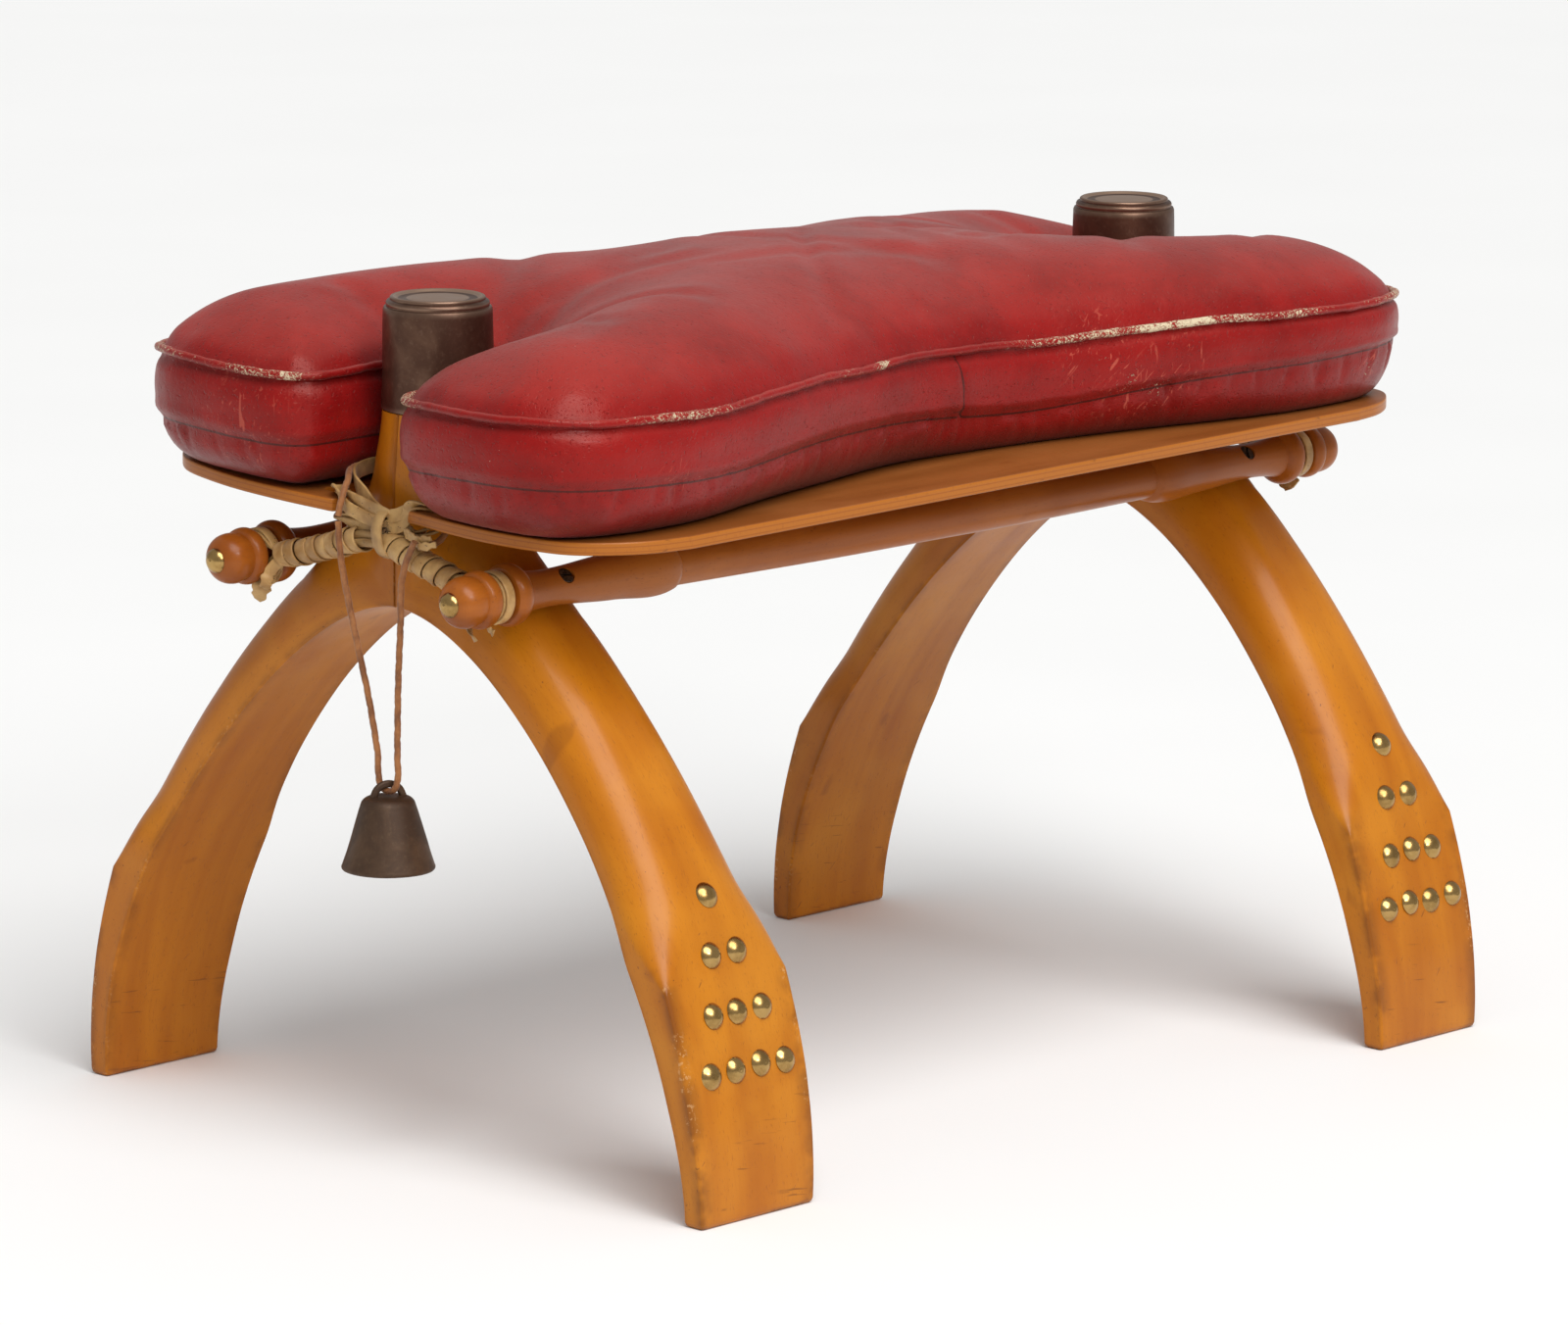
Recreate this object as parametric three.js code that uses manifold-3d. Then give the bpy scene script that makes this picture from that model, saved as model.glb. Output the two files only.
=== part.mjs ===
// Camel saddle stool: two beech arches with capped pommels, two turned side rods, two bent
// seat boards, rawhide lashings, a loose leather cushion and a bell on a twisted cord.
// Millimetres. X runs along the stool, Y across it, Z up from the floor.

import * as THREE from 'three';
import { mergeVertices } from 'three/addons/utils/BufferGeometryUtils.js';
import Module from 'manifold-3d';

const wasm = await Module();
wasm.setup();

const GAP = 0.3;                 // clearance left between pieces that touch
const FACET_TURN = 0.17;         // keeps the facets of joined or cut shapes from lining up

// arches
const ARCH_X = 250;              // each arch stands this far from the middle
const APEX_Z = 269;              // underside of the arch at its middle
const FOOT_INNER_Y = 205.5;      // inner face of the foot at the floor
const POST_TOP_Z = 363.5;        // ledge the brass cap stands on
const POST_TOP_R = 26.8;
const NECK_R = 24.3;             // turned neck of the pommel inside the cap
const NECK_TOP_Z = 411;
const DOWEL_R = 5;
const DOWELS = [{ z: 286, length: 48 }, { z: 334, length: 36 }];

// pommel caps
const CAP_TOP_Z = 419;
const CAP_BOTTOM_Z = 364;

// side rods
const ROD_Y = 82.2;
const ROD_Z = 286.9;
const ROD_TIP_X = 321.5;
const FINIAL_DOME_R = 6.2;
const FINIAL_DOME_HEIGHT = 4.3;
const NECK_MIN_X = 289.4;        // turned groove that holds the rawhide
const NECK_MAX_X = 297.2;
const ROD_NECK_R = 8;

// screws that hold the rods to the arches
const SCREW_HEAD_R = 4;
const SCREW_SHANK_R = 2;
const SCREW_HEAD_TOP = 8.6;      // height of the head's top over the rod's axis
const SCREW_DEPTH = 34;          // how far the tip reaches past the rod's axis

// dome nails
const STUD_R = 6.5;
const STUD_HEIGHT = 3.6;
const STUD_PITCH_X = 16.6;
const STUD_ROWS_Z = [150, 123.4, 97, 71.3];

// seat boards
const BOARD_T = 6.5;
const BOARD_INNER_Y = 23;
const NOTCH_X = [213, 286.4];    // notch round the post, measured from the middle
const NOTCH_Y = 44.6;

// cushion
const PIPING_Z = 379;
const SEAM_Z = 342;
const BELLY = 15;
const CUSHION_NOTCH_R = 33;
const CUSHION_REACH = { x: 319, y: 156 };

// bell and its cord
const CORD_R = 1.65;
const BELL_X = -303;
const BELL_Y = -19.5;
const BELL_LOOP_Z = 188.4;       // top of the loop's wire, on its centre line
const BELL_SHOULDER_Z = 182;
const BELL_HEIGHT = 35.5;
const BELL_R = 22.7;              // at the rim

const COLOURS = {
  beech: { color: 0xb9712c, roughness: 0.42, metalness: 0 },
  beech_rod: { color: 0xa8601f, roughness: 0.4, metalness: 0 },
  plywood: { color: 0xb4702f, roughness: 0.4, metalness: 0 },
  dowel: { color: 0xc9a06a, roughness: 0.6, metalness: 0 },
  cap: { color: 0x5a4236, roughness: 0.38, metalness: 1 },
  brass: { color: 0x8a7440, roughness: 0.35, metalness: 1 },
  steel: { color: 0x4c4a46, roughness: 0.5, metalness: 1 },
  bronze: { color: 0x4d4034, roughness: 0.45, metalness: 1 },
  rawhide: { color: 0xbfa371, roughness: 0.65, metalness: 0 },
  cord: { color: 0xa8743f, roughness: 0.75, metalness: 0 },
  leather: { color: 0x9a2323, roughness: 0.45, metalness: 0 },
};

const part = new THREE.Group();
part.name = 'camel_saddle_stool';

function add(name, geometry, colour) {
  const material = new THREE.MeshStandardMaterial(COLOURS[colour]);
  material.name = name;
  const mesh = new THREE.Mesh(geometry, material);
  mesh.name = name;
  part.add(mesh);
}

// ---------------------------------------------------------------- solids

// A closed solid through rings of equal length. A looped solid joins its last ring to its first.
function solidFromRings(rings, looped = false) {
  const count = rings[0].length;
  const positions = [];
  const index = [];
  rings.forEach((ring) => ring.forEach((p) => positions.push(p.x, p.y, p.z)));
  const spans = looped ? rings.length : rings.length - 1;
  for (let i = 0; i < spans; i += 1) {
    const a = i * count;
    const b = ((i + 1) % rings.length) * count;
    for (let j = 0; j < count; j += 1) {
      const k = (j + 1) % count;
      index.push(a + j, a + k, b + j, a + k, b + k, b + j);
    }
  }
  if (!looped) {
    addFan(positions, index, rings[0], 0, true);
    addFan(positions, index, rings[rings.length - 1], (rings.length - 1) * count, false);
  }
  const geometry = new THREE.BufferGeometry();
  geometry.setAttribute('position', new THREE.Float32BufferAttribute(positions, 3));
  geometry.setIndex(index);
  geometry.computeVertexNormals();
  return faceOutwards(geometry);
}

function addFan(positions, index, ring, first, reversed) {
  const centre = ring.reduce((sum, p) => sum.add(p), new THREE.Vector3()).divideScalar(ring.length);
  const middle = positions.length / 3;
  positions.push(centre.x, centre.y, centre.z);
  for (let j = 0; j < ring.length; j += 1) {
    const k = (j + 1) % ring.length;
    if (reversed) index.push(middle, first + k, first + j);
    else index.push(middle, first + j, first + k);
  }
}

function signedVolume(geometry) {
  const p = geometry.attributes.position;
  const index = geometry.index.array;
  const corner = [0, 1, 2].map(() => new THREE.Vector3());
  let volume = 0;
  for (let i = 0; i < index.length; i += 3) {
    corner.forEach((v, k) => v.fromBufferAttribute(p, index[i + k]));
    volume += corner[0].dot(corner[1].clone().cross(corner[2])) / 6;
  }
  return volume;
}

function faceOutwards(geometry) {
  if (signedVolume(geometry) < 0) {
    const index = geometry.index.array;
    for (let i = 0; i < index.length; i += 3) {
      [index[i], index[i + 1]] = [index[i + 1], index[i]];
    }
    geometry.computeVertexNormals();
  }
  return geometry;
}

// One vertex per corner, with no triangle that has lost its area.
function welded(geometry) {
  const plain = geometry.clone();
  plain.deleteAttribute('normal');
  plain.deleteAttribute('uv');
  const merged = mergeVertices(plain, 1e-4);
  const index = merged.index.array;
  const kept = [];
  for (let i = 0; i < index.length; i += 3) {
    const [a, b, c] = [index[i], index[i + 1], index[i + 2]];
    if (a !== b && b !== c && c !== a) kept.push(a, b, c);
  }
  merged.setIndex(kept);
  merged.computeVertexNormals();
  return merged;
}

function toSolid(geometry) {
  const merged = geometry.index && !geometry.attributes.uv ? geometry : welded(geometry);
  return new wasm.Manifold(new wasm.Mesh({
    numProp: 3,
    vertProperties: new Float32Array(merged.attributes.position.array),
    triVerts: new Uint32Array(merged.index.array),
  }));
}

function fromSolid(solid) {
  const mesh = solid.getMesh();
  const geometry = new THREE.BufferGeometry();
  geometry.setAttribute('position', new THREE.Float32BufferAttribute(mesh.vertProperties, 3));
  geometry.setIndex(Array.from(mesh.triVerts));
  geometry.computeVertexNormals();
  return geometry;
}

function cut(geometry, tools) {
  const solid = tools.reduce((rest, tool) => rest.subtract(toSolid(tool)), toSolid(geometry));
  return fromSolid(solid);
}

function join(geometries) {
  const [first, ...others] = geometries;
  return fromSolid(others.reduce((sum, other) => sum.add(toSolid(other)), toSolid(first)));
}

// A profile of [radius, height] turned about +Z.
function turned(profile, sides) {
  const lathe = new THREE.LatheGeometry(profile.map(([r, h]) => new THREE.Vector2(r, h)), sides);
  return faceOutwards(welded(lathe)).rotateX(Math.PI / 2);
}

// Turns a shape made about +Z so that its +Z points along the direction, then moves it.
function aim(geometry, direction, place) {
  const turn = new THREE.Quaternion()
    .setFromUnitVectors(new THREE.Vector3(0, 0, 1), direction.clone().normalize());
  return geometry.applyQuaternion(turn).translate(place.x, place.y, place.z);
}

function cylinder(radius, from, to, sides = 16) {
  const along = to.clone().sub(from);
  const length = along.length();
  return aim(turned([[0, 0], [radius, 0], [radius, length], [0, length]], sides), along, from);
}

// A round bar along a smooth line; radiusAt gives its radius from 0 to 1 along the line.
function sweep(points, radiusAt, steps, sides, looped = false) {
  const line = new THREE.CatmullRomCurve3(points, looped, 'centripetal');
  const frames = line.computeFrenetFrames(steps, looped);
  const rings = [];
  const last = looped ? steps - 1 : steps;
  for (let i = 0; i <= last; i += 1) {
    const centre = line.getPointAt(i / steps);
    const radius = radiusAt(i / steps);
    rings.push(circleRing(centre, frames.normals[i], frames.binormals[i], radius, sides));
  }
  return solidFromRings(rings, looped);
}

function circleRing(centre, normal, binormal, radius, sides) {
  const ring = [];
  for (let j = 0; j < sides; j += 1) {
    const angle = (2 * Math.PI * j) / sides;
    ring.push(centre.clone()
      .addScaledVector(normal, radius * Math.cos(angle))
      .addScaledVector(binormal, radius * Math.sin(angle)));
  }
  return ring;
}

// A free or tied cord: a round tube along hand-chosen points.
function cordTube(points, radius, steps) {
  const line = new THREE.CatmullRomCurve3(points, false, 'centripetal');
  const round = new THREE.Shape().absarc(0, 0, radius, 0, 2 * Math.PI);
  return new THREE.ExtrudeGeometry(round, {
    steps, extrudePath: line, bevelEnabled: false, curveSegments: 4,
  });
}

const vec = (x, y, z) => new THREE.Vector3(x, y, z);
const mix = (a, b, t) => a + (b - a) * t;
const smooth = (t) => t * t * (3 - 2 * t);
const clamp01 = (t) => Math.min(1, Math.max(0, t));

// Straight-line reading of a short list of [place, value] pairs.
function readAt(pairs, place) {
  if (place <= pairs[0][0]) return pairs[0][1];
  for (let i = 1; i < pairs.length; i += 1) {
    const [p1, v1] = pairs[i];
    const [p0, v0] = pairs[i - 1];
    if (place <= p1) return mix(v0, v1, (place - p0) / (p1 - p0));
  }
  return pairs[pairs.length - 1][1];
}

// ---------------------------------------------------------------- arches

// Inner face of one half arch in the YZ plane, from the apex (0) to the floor (1).
const innerLine = new THREE.CubicBezierCurve(
  new THREE.Vector2(0, APEX_Z),
  new THREE.Vector2(76.4, APEX_Z),
  new THREE.Vector2(207, 110),
  new THREE.Vector2(FOOT_INNER_Y, 0),
);

// Thickness of the leg, measured square to the inner face.
const LEG_THICKNESS = [
  [0.236, 34.3], [0.33, 31], [0.44, 28.3], [0.55, 26.6], [0.64, 25.4],
  [0.7, 20.8], [0.76, 18.2], [0.85, 14.6], [0.93, 13.1], [1, 12.5],
];

// Half width of the arch along X by height.
const ARCH_HALF_WIDTH = [
  [0, 38], [58, 41], [128, 41], [151, 36.5], [176, 34], [225, 31], [261, 29.8],
  [337, 29.8], [362, POST_TOP_R],
];

// Outer line of the shoulder and post, from the leg (0) to the cap's ledge (1).
const shoulderLine = new THREE.CubicBezierCurve(
  new THREE.Vector2(80, 273.6),
  new THREE.Vector2(50, 302.3),
  new THREE.Vector2(27, 330),
  new THREE.Vector2(POST_TOP_R, POST_TOP_Z),
);

const SHOULDER_T = 0.236;        // where the leg ends on the inner line
const APEX_SHARE = 0.42;         // share of the shoulder spent reaching the apex
const KNEE_Z = 112;              // below this the leg is a square-edged foot
const FOOT_EDGE_R = 2.5;

function legOuter(t) {
  const inner = innerLine.getPoint(t);
  const along = innerLine.getTangent(t);
  const outward = new THREE.Vector2(-along.y, along.x);
  return inner.addScaledVector(outward, readAt(LEG_THICKNESS, t));
}

// One section: inner and outer points in YZ, and the outer corner's rounding along X and across.
function legSection(t) {
  const inner = innerLine.getPoint(t);
  const outer = legOuter(t);
  const thickness = inner.distanceTo(outer);
  const halfWidth = readAt(ARCH_HALF_WIDTH, (inner.y + outer.y) / 2);
  const round = Math.sqrt(smooth(clamp01((outer.y - KNEE_Z) / 48)));
  return {
    inner, outer, halfWidth,
    roundX: mix(FOOT_EDGE_R, 0.72 * halfWidth, round),
    roundN: mix(FOOT_EDGE_R, 0.8 * thickness, round),
  };
}

function postSection(v) {
  const outer = shoulderLine.getPoint(v);
  const inner = v < APEX_SHARE
    ? innerLine.getPoint(SHOULDER_T * (1 - v / APEX_SHARE))
    : new THREE.Vector2(0, mix(APEX_Z, POST_TOP_Z, smooth((v - APEX_SHARE) / (1 - APEX_SHARE))));
  const thickness = inner.distanceTo(outer);
  const halfWidth = readAt(ARCH_HALF_WIDTH, (inner.y + outer.y) / 2);
  return {
    inner, outer, halfWidth,
    roundX: mix(0.72, 1, smooth(v)) * halfWidth,
    roundN: mix(0.8, 1, smooth(v)) * thickness,
  };
}

function plainSection(radius, z) {
  return {
    inner: new THREE.Vector2(0, z), outer: new THREE.Vector2(radius, z),
    halfWidth: radius, roundX: radius, roundN: radius,
  };
}

const CORNER_STEPS = 4;
const INNER_EASE = 1;

function sectionRing(section) {
  const { inner, outer, halfWidth, roundX } = section;
  const thickness = inner.distanceTo(outer);
  const roundN = Math.min(section.roundN, thickness - 1.5 * INNER_EASE);
  const outward = outer.clone().sub(inner).normalize();
  const ring = [];
  const put = (x, n) => {
    const place = inner.clone().addScaledVector(outward, n);
    ring.push(vec(x, Math.max(place.x, GAP / 2), place.y));
  };
  put(-halfWidth + INNER_EASE, 0);
  put(-halfWidth, INNER_EASE);
  for (let i = 0; i <= CORNER_STEPS; i += 1) {
    const a = (Math.PI / 2) * (i / CORNER_STEPS);
    put(-halfWidth + roundX * (1 - Math.cos(a)), thickness - roundN * (1 - Math.sin(a)));
  }
  for (let i = CORNER_STEPS - 1; i >= 0; i -= 1) {
    const a = (Math.PI / 2) * (i / CORNER_STEPS);
    put(halfWidth - roundX * (1 - Math.cos(a)), thickness - roundN * (1 - Math.sin(a)));
  }
  put(halfWidth, INNER_EASE);
  put(halfWidth - INNER_EASE, 0);
  return ring;
}

function footRing() {
  const bottom = legSection(1);
  const inset = 2.5;
  bottom.halfWidth -= inset;
  bottom.inner.x += inset;
  bottom.outer.x -= inset;
  return sectionRing(bottom).map((p) => vec(p.x, p.y, 0));
}

function halfArch() {
  const rings = [footRing()];
  for (const t of [0.988, 0.93, 0.86, 0.79, 0.745, 0.715, 0.69, 0.665, 0.635]) {
    rings.push(sectionRing(legSection(t)));
  }
  const legSteps = 7;
  for (let i = 1; i <= legSteps; i += 1) {
    rings.push(sectionRing(legSection(mix(0.635, SHOULDER_T, i / legSteps))));
  }
  const postSteps = 10;
  for (let i = 1; i <= postSteps; i += 1) rings.push(sectionRing(postSection(i / postSteps)));
  rings.push(sectionRing(plainSection(NECK_R, POST_TOP_Z)));
  rings.push(sectionRing(plainSection(NECK_R, NECK_TOP_Z)));
  return solidFromRings(rings);
}

// ---------------------------------------------------------------- rods and screws

// Half of the rod's turning, from its end (tip) to the middle: [distance from middle, radius].
const ROD_TURNING = [
  [ROD_TIP_X, 0], [ROD_TIP_X, 6.4], [319.6, 9.4], [316.4, 11.6], [311.6, 12.6],
  [306.6, 12], [305.6, 13.3], [304.2, 13.9], [300.4, 13.9], [298.6, 12.8],
  [NECK_MAX_X + 0.4, 9], [NECK_MAX_X - 0.6, ROD_NECK_R], [NECK_MIN_X + 0.6, ROD_NECK_R],
  [NECK_MIN_X - 0.4, 9], [288, 13.6], [286, 15], [281, 15], [278.8, 13.6],
  [277.4, 11], [274, 10.4], [215, 11.4], [178.5, 12.3], [176.4, 11.8], [175.2, 10.6],
  [174.4, 9.9], [120, 10.6], [60, 11.1],
];

function rodProfile() {
  const frontHalf = ROD_TURNING.map(([x, r]) => [r, -x]);
  const rearHalf = ROD_TURNING.map(([x, r]) => [r, x]).reverse();
  return [...frontHalf, [11.2, 0], ...rearHalf];
}

function rodGeometry(side) {
  const rod = turned(rodProfile(), 12).rotateY(Math.PI / 2).translate(0, side * ROD_Y, ROD_Z);
  return cut(rod, [-1, 1].map((end) => screwClearance(end, side)));
}

const outwardOf = (side) => vec(0, side, 1).normalize();

// A point on a screw's axis, measured outwards from the rod's axis.
function screwPoint(end, side, distance) {
  return vec(end * ARCH_X, side * ROD_Y, ROD_Z).addScaledVector(outwardOf(side), distance);
}

function screwClearance(end, side) {
  const headBottom = SCREW_HEAD_TOP - 3;
  const profile = [
    [0, -SCREW_DEPTH - 1], [SCREW_SHANK_R + GAP, -SCREW_DEPTH - 1],
    [SCREW_SHANK_R + GAP, headBottom - GAP], [SCREW_HEAD_R + GAP, SCREW_HEAD_TOP - 1 - GAP],
    [SCREW_HEAD_R + GAP, 16], [0, 16],
  ];
  const tool = turned(profile, 12).rotateZ(FACET_TURN);
  return aim(tool, outwardOf(side), screwPoint(end, side, 0));
}

function screwGeometry(end, side) {
  const headBottom = SCREW_HEAD_TOP - 3;
  const profile = [
    [0, -SCREW_DEPTH], [SCREW_SHANK_R, -SCREW_DEPTH + 4], [SCREW_SHANK_R, headBottom],
    [SCREW_HEAD_R, SCREW_HEAD_TOP - 1], [SCREW_HEAD_R, SCREW_HEAD_TOP - 0.4],
    [SCREW_HEAD_R - 0.5, SCREW_HEAD_TOP], [0, SCREW_HEAD_TOP],
  ];
  const slot = new THREE.BoxGeometry(2 * SCREW_HEAD_R + 2, 1.1, 2).translate(0, 0, SCREW_HEAD_TOP);
  const screw = cut(turned(profile, 12), [slot]);
  return aim(screw, outwardOf(side), screwPoint(end, side, 0));
}

// Shallow saddle in the arch's shoulder under the rod.
function rodSaddle(end, side) {
  const reach = ARCH_X + 45;
  const start = ARCH_X - 45;
  const radius = 11.4 + GAP;
  return cylinder(radius, vec(end * start, side * ROD_Y, ROD_Z), vec(end * reach, side * ROD_Y, ROD_Z), 20);
}

function dowelHole(end, dowel) {
  const half = dowel.length / 2 + 0.6;
  return cylinder(DOWEL_R + GAP, vec(end * ARCH_X, -half, dowel.z), vec(end * ARCH_X, half, dowel.z), 12);
}

function archHalf(end, side) {
  const half = halfArch();
  if (side < 0) half.scale(1, -1, 1);
  faceOutwards(half);
  half.translate(end * ARCH_X, 0, 0);
  const tools = [rodSaddle(end, side), screwClearance(end, side)];
  return cut(half, [...tools, ...DOWELS.map((dowel) => dowelHole(end, dowel))]);
}

// ---------------------------------------------------------------- brass

function capGeometry(end) {
  const profile = [
    [0, CAP_TOP_Z - 0.9], [20.6, CAP_TOP_Z - 0.9], [21.3, CAP_TOP_Z - 0.2],
    [22.3, CAP_TOP_Z], [23.2, CAP_TOP_Z - 0.6], [23.3, CAP_TOP_Z - 1.8],
    [25, CAP_TOP_Z - 2.6], [25.3, CAP_TOP_Z - 3.8], [25, CAP_TOP_Z - 4.8],
    [26.2, CAP_TOP_Z - 5.4], [26.6, CAP_TOP_Z - 7], [27.5, CAP_BOTTOM_Z],
    [26.3, CAP_BOTTOM_Z], [25.4, CAP_TOP_Z - 7], [24, CAP_TOP_Z - 6], [0, CAP_TOP_Z - 2.4],
  ];
  return turned(profile, 20).translate(end * ARCH_X, 0, 0);
}

const domeProfile = (radius, height) => [
  [0, 0], [radius, 0], [0.88 * radius, 0.52 * height], [0.5 * radius, 0.88 * height], [0, height],
];

function finialDome(end, side) {
  const dome = turned(domeProfile(FINIAL_DOME_R, FINIAL_DOME_HEIGHT), 10);
  return aim(dome, vec(end, 0, 0), vec(end * (ROD_TIP_X + GAP), side * ROD_Y, ROD_Z));
}

// The leg parameter at which the outer face reaches a height.
function outerAtHeight(z) {
  let low = 0.5;
  let high = 1;
  for (let i = 0; i < 30; i += 1) {
    const t = (low + high) / 2;
    if (legOuter(t).y > z) low = t;
    else high = t;
  }
  return (low + high) / 2;
}

function studSeat(z, lift) {
  const t = outerAtHeight(z);
  const here = legOuter(t);
  const along = legOuter(t + 0.01).sub(legOuter(t - 0.01)).normalize();
  const outward = new THREE.Vector2(-along.y, along.x);
  return { place: here.addScaledVector(outward, lift), outward };
}

// A thin strip that joins the heads, because single nails would pass the piece limit.
function stripRing(x, seat, halfX, halfN, along) {
  const out = vec(0, seat.outward.x, seat.outward.y);
  const centre = vec(x, seat.place.x, seat.place.y);
  const corners = [[-1, -1], [1, -1], [1, 1], [-1, 1]];
  return corners.map(([a, b]) => centre.clone()
    .addScaledVector(along, a * halfX)
    .addScaledVector(out, b * halfN));
}

function nailTriangle(end, side) {
  const pieces = [];
  STUD_ROWS_Z.forEach((z, row) => {
    const seat = studSeat(z, GAP);
    const out = vec(0, seat.outward.x, seat.outward.y);
    const firstX = (-row * STUD_PITCH_X) / 2;
    for (let i = 0; i <= row; i += 1) {
      const dome = turned(domeProfile(STUD_R, STUD_HEIGHT), 8).rotateZ(FACET_TURN);
      pieces.push(aim(dome, out, vec(firstX + i * STUD_PITCH_X, seat.place.x, seat.place.y)));
    }
    if (row > 0) {
      const strip = studSeat(z, 0.8);
      const upward = vec(0, -seat.outward.y, seat.outward.x);
      const ends = [firstX, -firstX].map((x) => stripRing(x, strip, 1, 0.4, upward));
      pieces.push(solidFromRings(ends));
    }
  });
  const spine = [];
  const spineSteps = 6;
  for (let i = 0; i <= spineSteps; i += 1) {
    const z = mix(STUD_ROWS_Z[0], STUD_ROWS_Z[3], i / spineSteps);
    spine.push(stripRing(0, studSeat(z, 0.75), 0.9, 0.25, vec(1, 0, 0)));
  }
  pieces.push(solidFromRings(spine));
  const nails = join(pieces);
  if (side < 0) nails.scale(1, -1, 1);
  return faceOutwards(nails).translate(end * ARCH_X, 0, 0);
}

// ---------------------------------------------------------------- seat boards

// Underside heights at the four corners; the plywood has taken a slight twist.
const BOARDS = {
  right: { side: -1, outerY: 160, nearX: 299, farX: 316, nearIn: 315.3, nearOut: 312.4, farIn: 316, farOut: 318 },
  left: { side: 1, outerY: 164, nearX: 304, farX: 305, nearIn: 315.5, nearOut: 324.5, farIn: 316, farOut: 319 },
};

function boardUnderside(board, x, y) {
  const along = (x + board.nearX) / (board.nearX + board.farX);
  const across = (Math.abs(y) - BOARD_INNER_Y) / (board.outerY - BOARD_INNER_Y);
  return mix(mix(board.nearIn, board.nearOut, across), mix(board.farIn, board.farOut, across), along);
}

// Outline of one end of a board, from its inner edge round to its outer edge.
function boardEnd(end, reach, outerY) {
  const [notchIn, notchOut] = NOTCH_X;
  const tip = reach - 5;
  return [
    [end * notchIn, BOARD_INNER_Y], [end * notchIn, NOTCH_Y - 4], [end * (notchIn + 4), NOTCH_Y],
    [end * (notchOut - 4), NOTCH_Y], [end * notchOut, NOTCH_Y - 4],
    [end * notchOut, BOARD_INNER_Y + 3], [end * (notchOut + 3), BOARD_INNER_Y],
    [end * (tip - 3), BOARD_INNER_Y], [end * tip, BOARD_INNER_Y + 3],
    [end * (reach - 1), 60], [end * reach, 88], [end * (reach - 2), 108],
    [end * (reach - 9), 0.45 * outerY + 60], [end * (reach - 22), outerY - 15],
    [end * (reach - 41), outerY - 4.5], [end * (reach - 62), outerY],
  ];
}

function boardGeometry(board) {
  const near = boardEnd(-1, board.nearX, board.outerY);
  const far = boardEnd(1, board.farX, board.outerY).reverse();
  const outline = [...near, ...far].map(([x, y]) => new THREE.Vector2(x, board.side * y));
  const ease = 0.8;
  const plate = new THREE.ExtrudeGeometry(new THREE.Shape(outline), {
    depth: BOARD_T - 2 * ease, bevelEnabled: true, bevelThickness: ease, bevelSize: ease,
    bevelOffset: -ease, bevelSegments: 1, steps: 1,
  }).translate(0, 0, ease);
  const p = plate.attributes.position;
  for (let i = 0; i < p.count; i += 1) {
    p.setZ(i, p.getZ(i) + boardUnderside(board, p.getX(i), p.getY(i)));
  }
  return plate;
}

// ---------------------------------------------------------------- cushion

// A quarter of the cushion's seam line, from the notch's root to the waist.
function cushionOutline() {
  const quarter = new THREE.CatmullRomCurve3([
    vec(317, 62, 0), vec(319.5, 92, 0), vec(317, 118, 0), vec(306, 139, 0), vec(287, 151, 0),
    vec(258, 156.5, 0), vec(220, 156, 0), vec(165, 147, 0), vec(105, 132, 0), vec(50, 121, 0),
    vec(0, 118, 0),
  ], false, 'centripetal').getPoints(22);
  const notch = [];
  for (let i = 0; i <= 6; i += 1) {
    const a = Math.PI - (Math.PI / 2) * (i / 6);
    notch.push(vec(244 + CUSHION_NOTCH_R * Math.cos(a), CUSHION_NOTCH_R * Math.sin(a), 0));
  }
  const mouth = [vec(286, 31.6, 0), vec(299, 33, 0), vec(309.5, 40, 0), vec(314.5, 50, 0)];
  return [...notch, ...mouth, ...quarter];
}

function fullOutline() {
  const quarter = cushionOutline();
  const mirrored = (sx, sy) => quarter.map((p) => new THREE.Vector2(sx * p.x, sy * p.y));
  const ring = [
    ...mirrored(1, 1), ...mirrored(-1, 1).reverse(), ...mirrored(-1, -1), ...mirrored(1, -1).reverse(),
  ];
  return ring.filter((p, i) => p.distanceTo(ring[(i + 1) % ring.length]) > 0.01);
}

function distanceToOutline(x, y, outline) {
  let best = Infinity;
  for (let i = 0; i < outline.length; i += 1) {
    const a = outline[i];
    const b = outline[(i + 1) % outline.length];
    const abx = b.x - a.x;
    const aby = b.y - a.y;
    const t = clamp01(((x - a.x) * abx + (y - a.y) * aby) / (abx * abx + aby * aby));
    best = Math.min(best, Math.hypot(x - a.x - t * abx, y - a.y - t * aby));
  }
  return best;
}

const CROWN_SPAN = 76;           // distance in from the seam at which the crown is full

const crownShape = (distance) => (1 - (1 - Math.min(distance, CROWN_SPAN) / CROWN_SPAN) ** 2) ** 0.8;

// Full height of the crown over the piping: highest in the middle, lowest at the rear left.
function crownAt(x, y) {
  const a = x / 300;
  const b = y / 150;
  return 39 - 5.7 * a - 4.6 * b - 16 * a * a + 9.2 * b * b - 2.3 * a * b;
}

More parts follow.
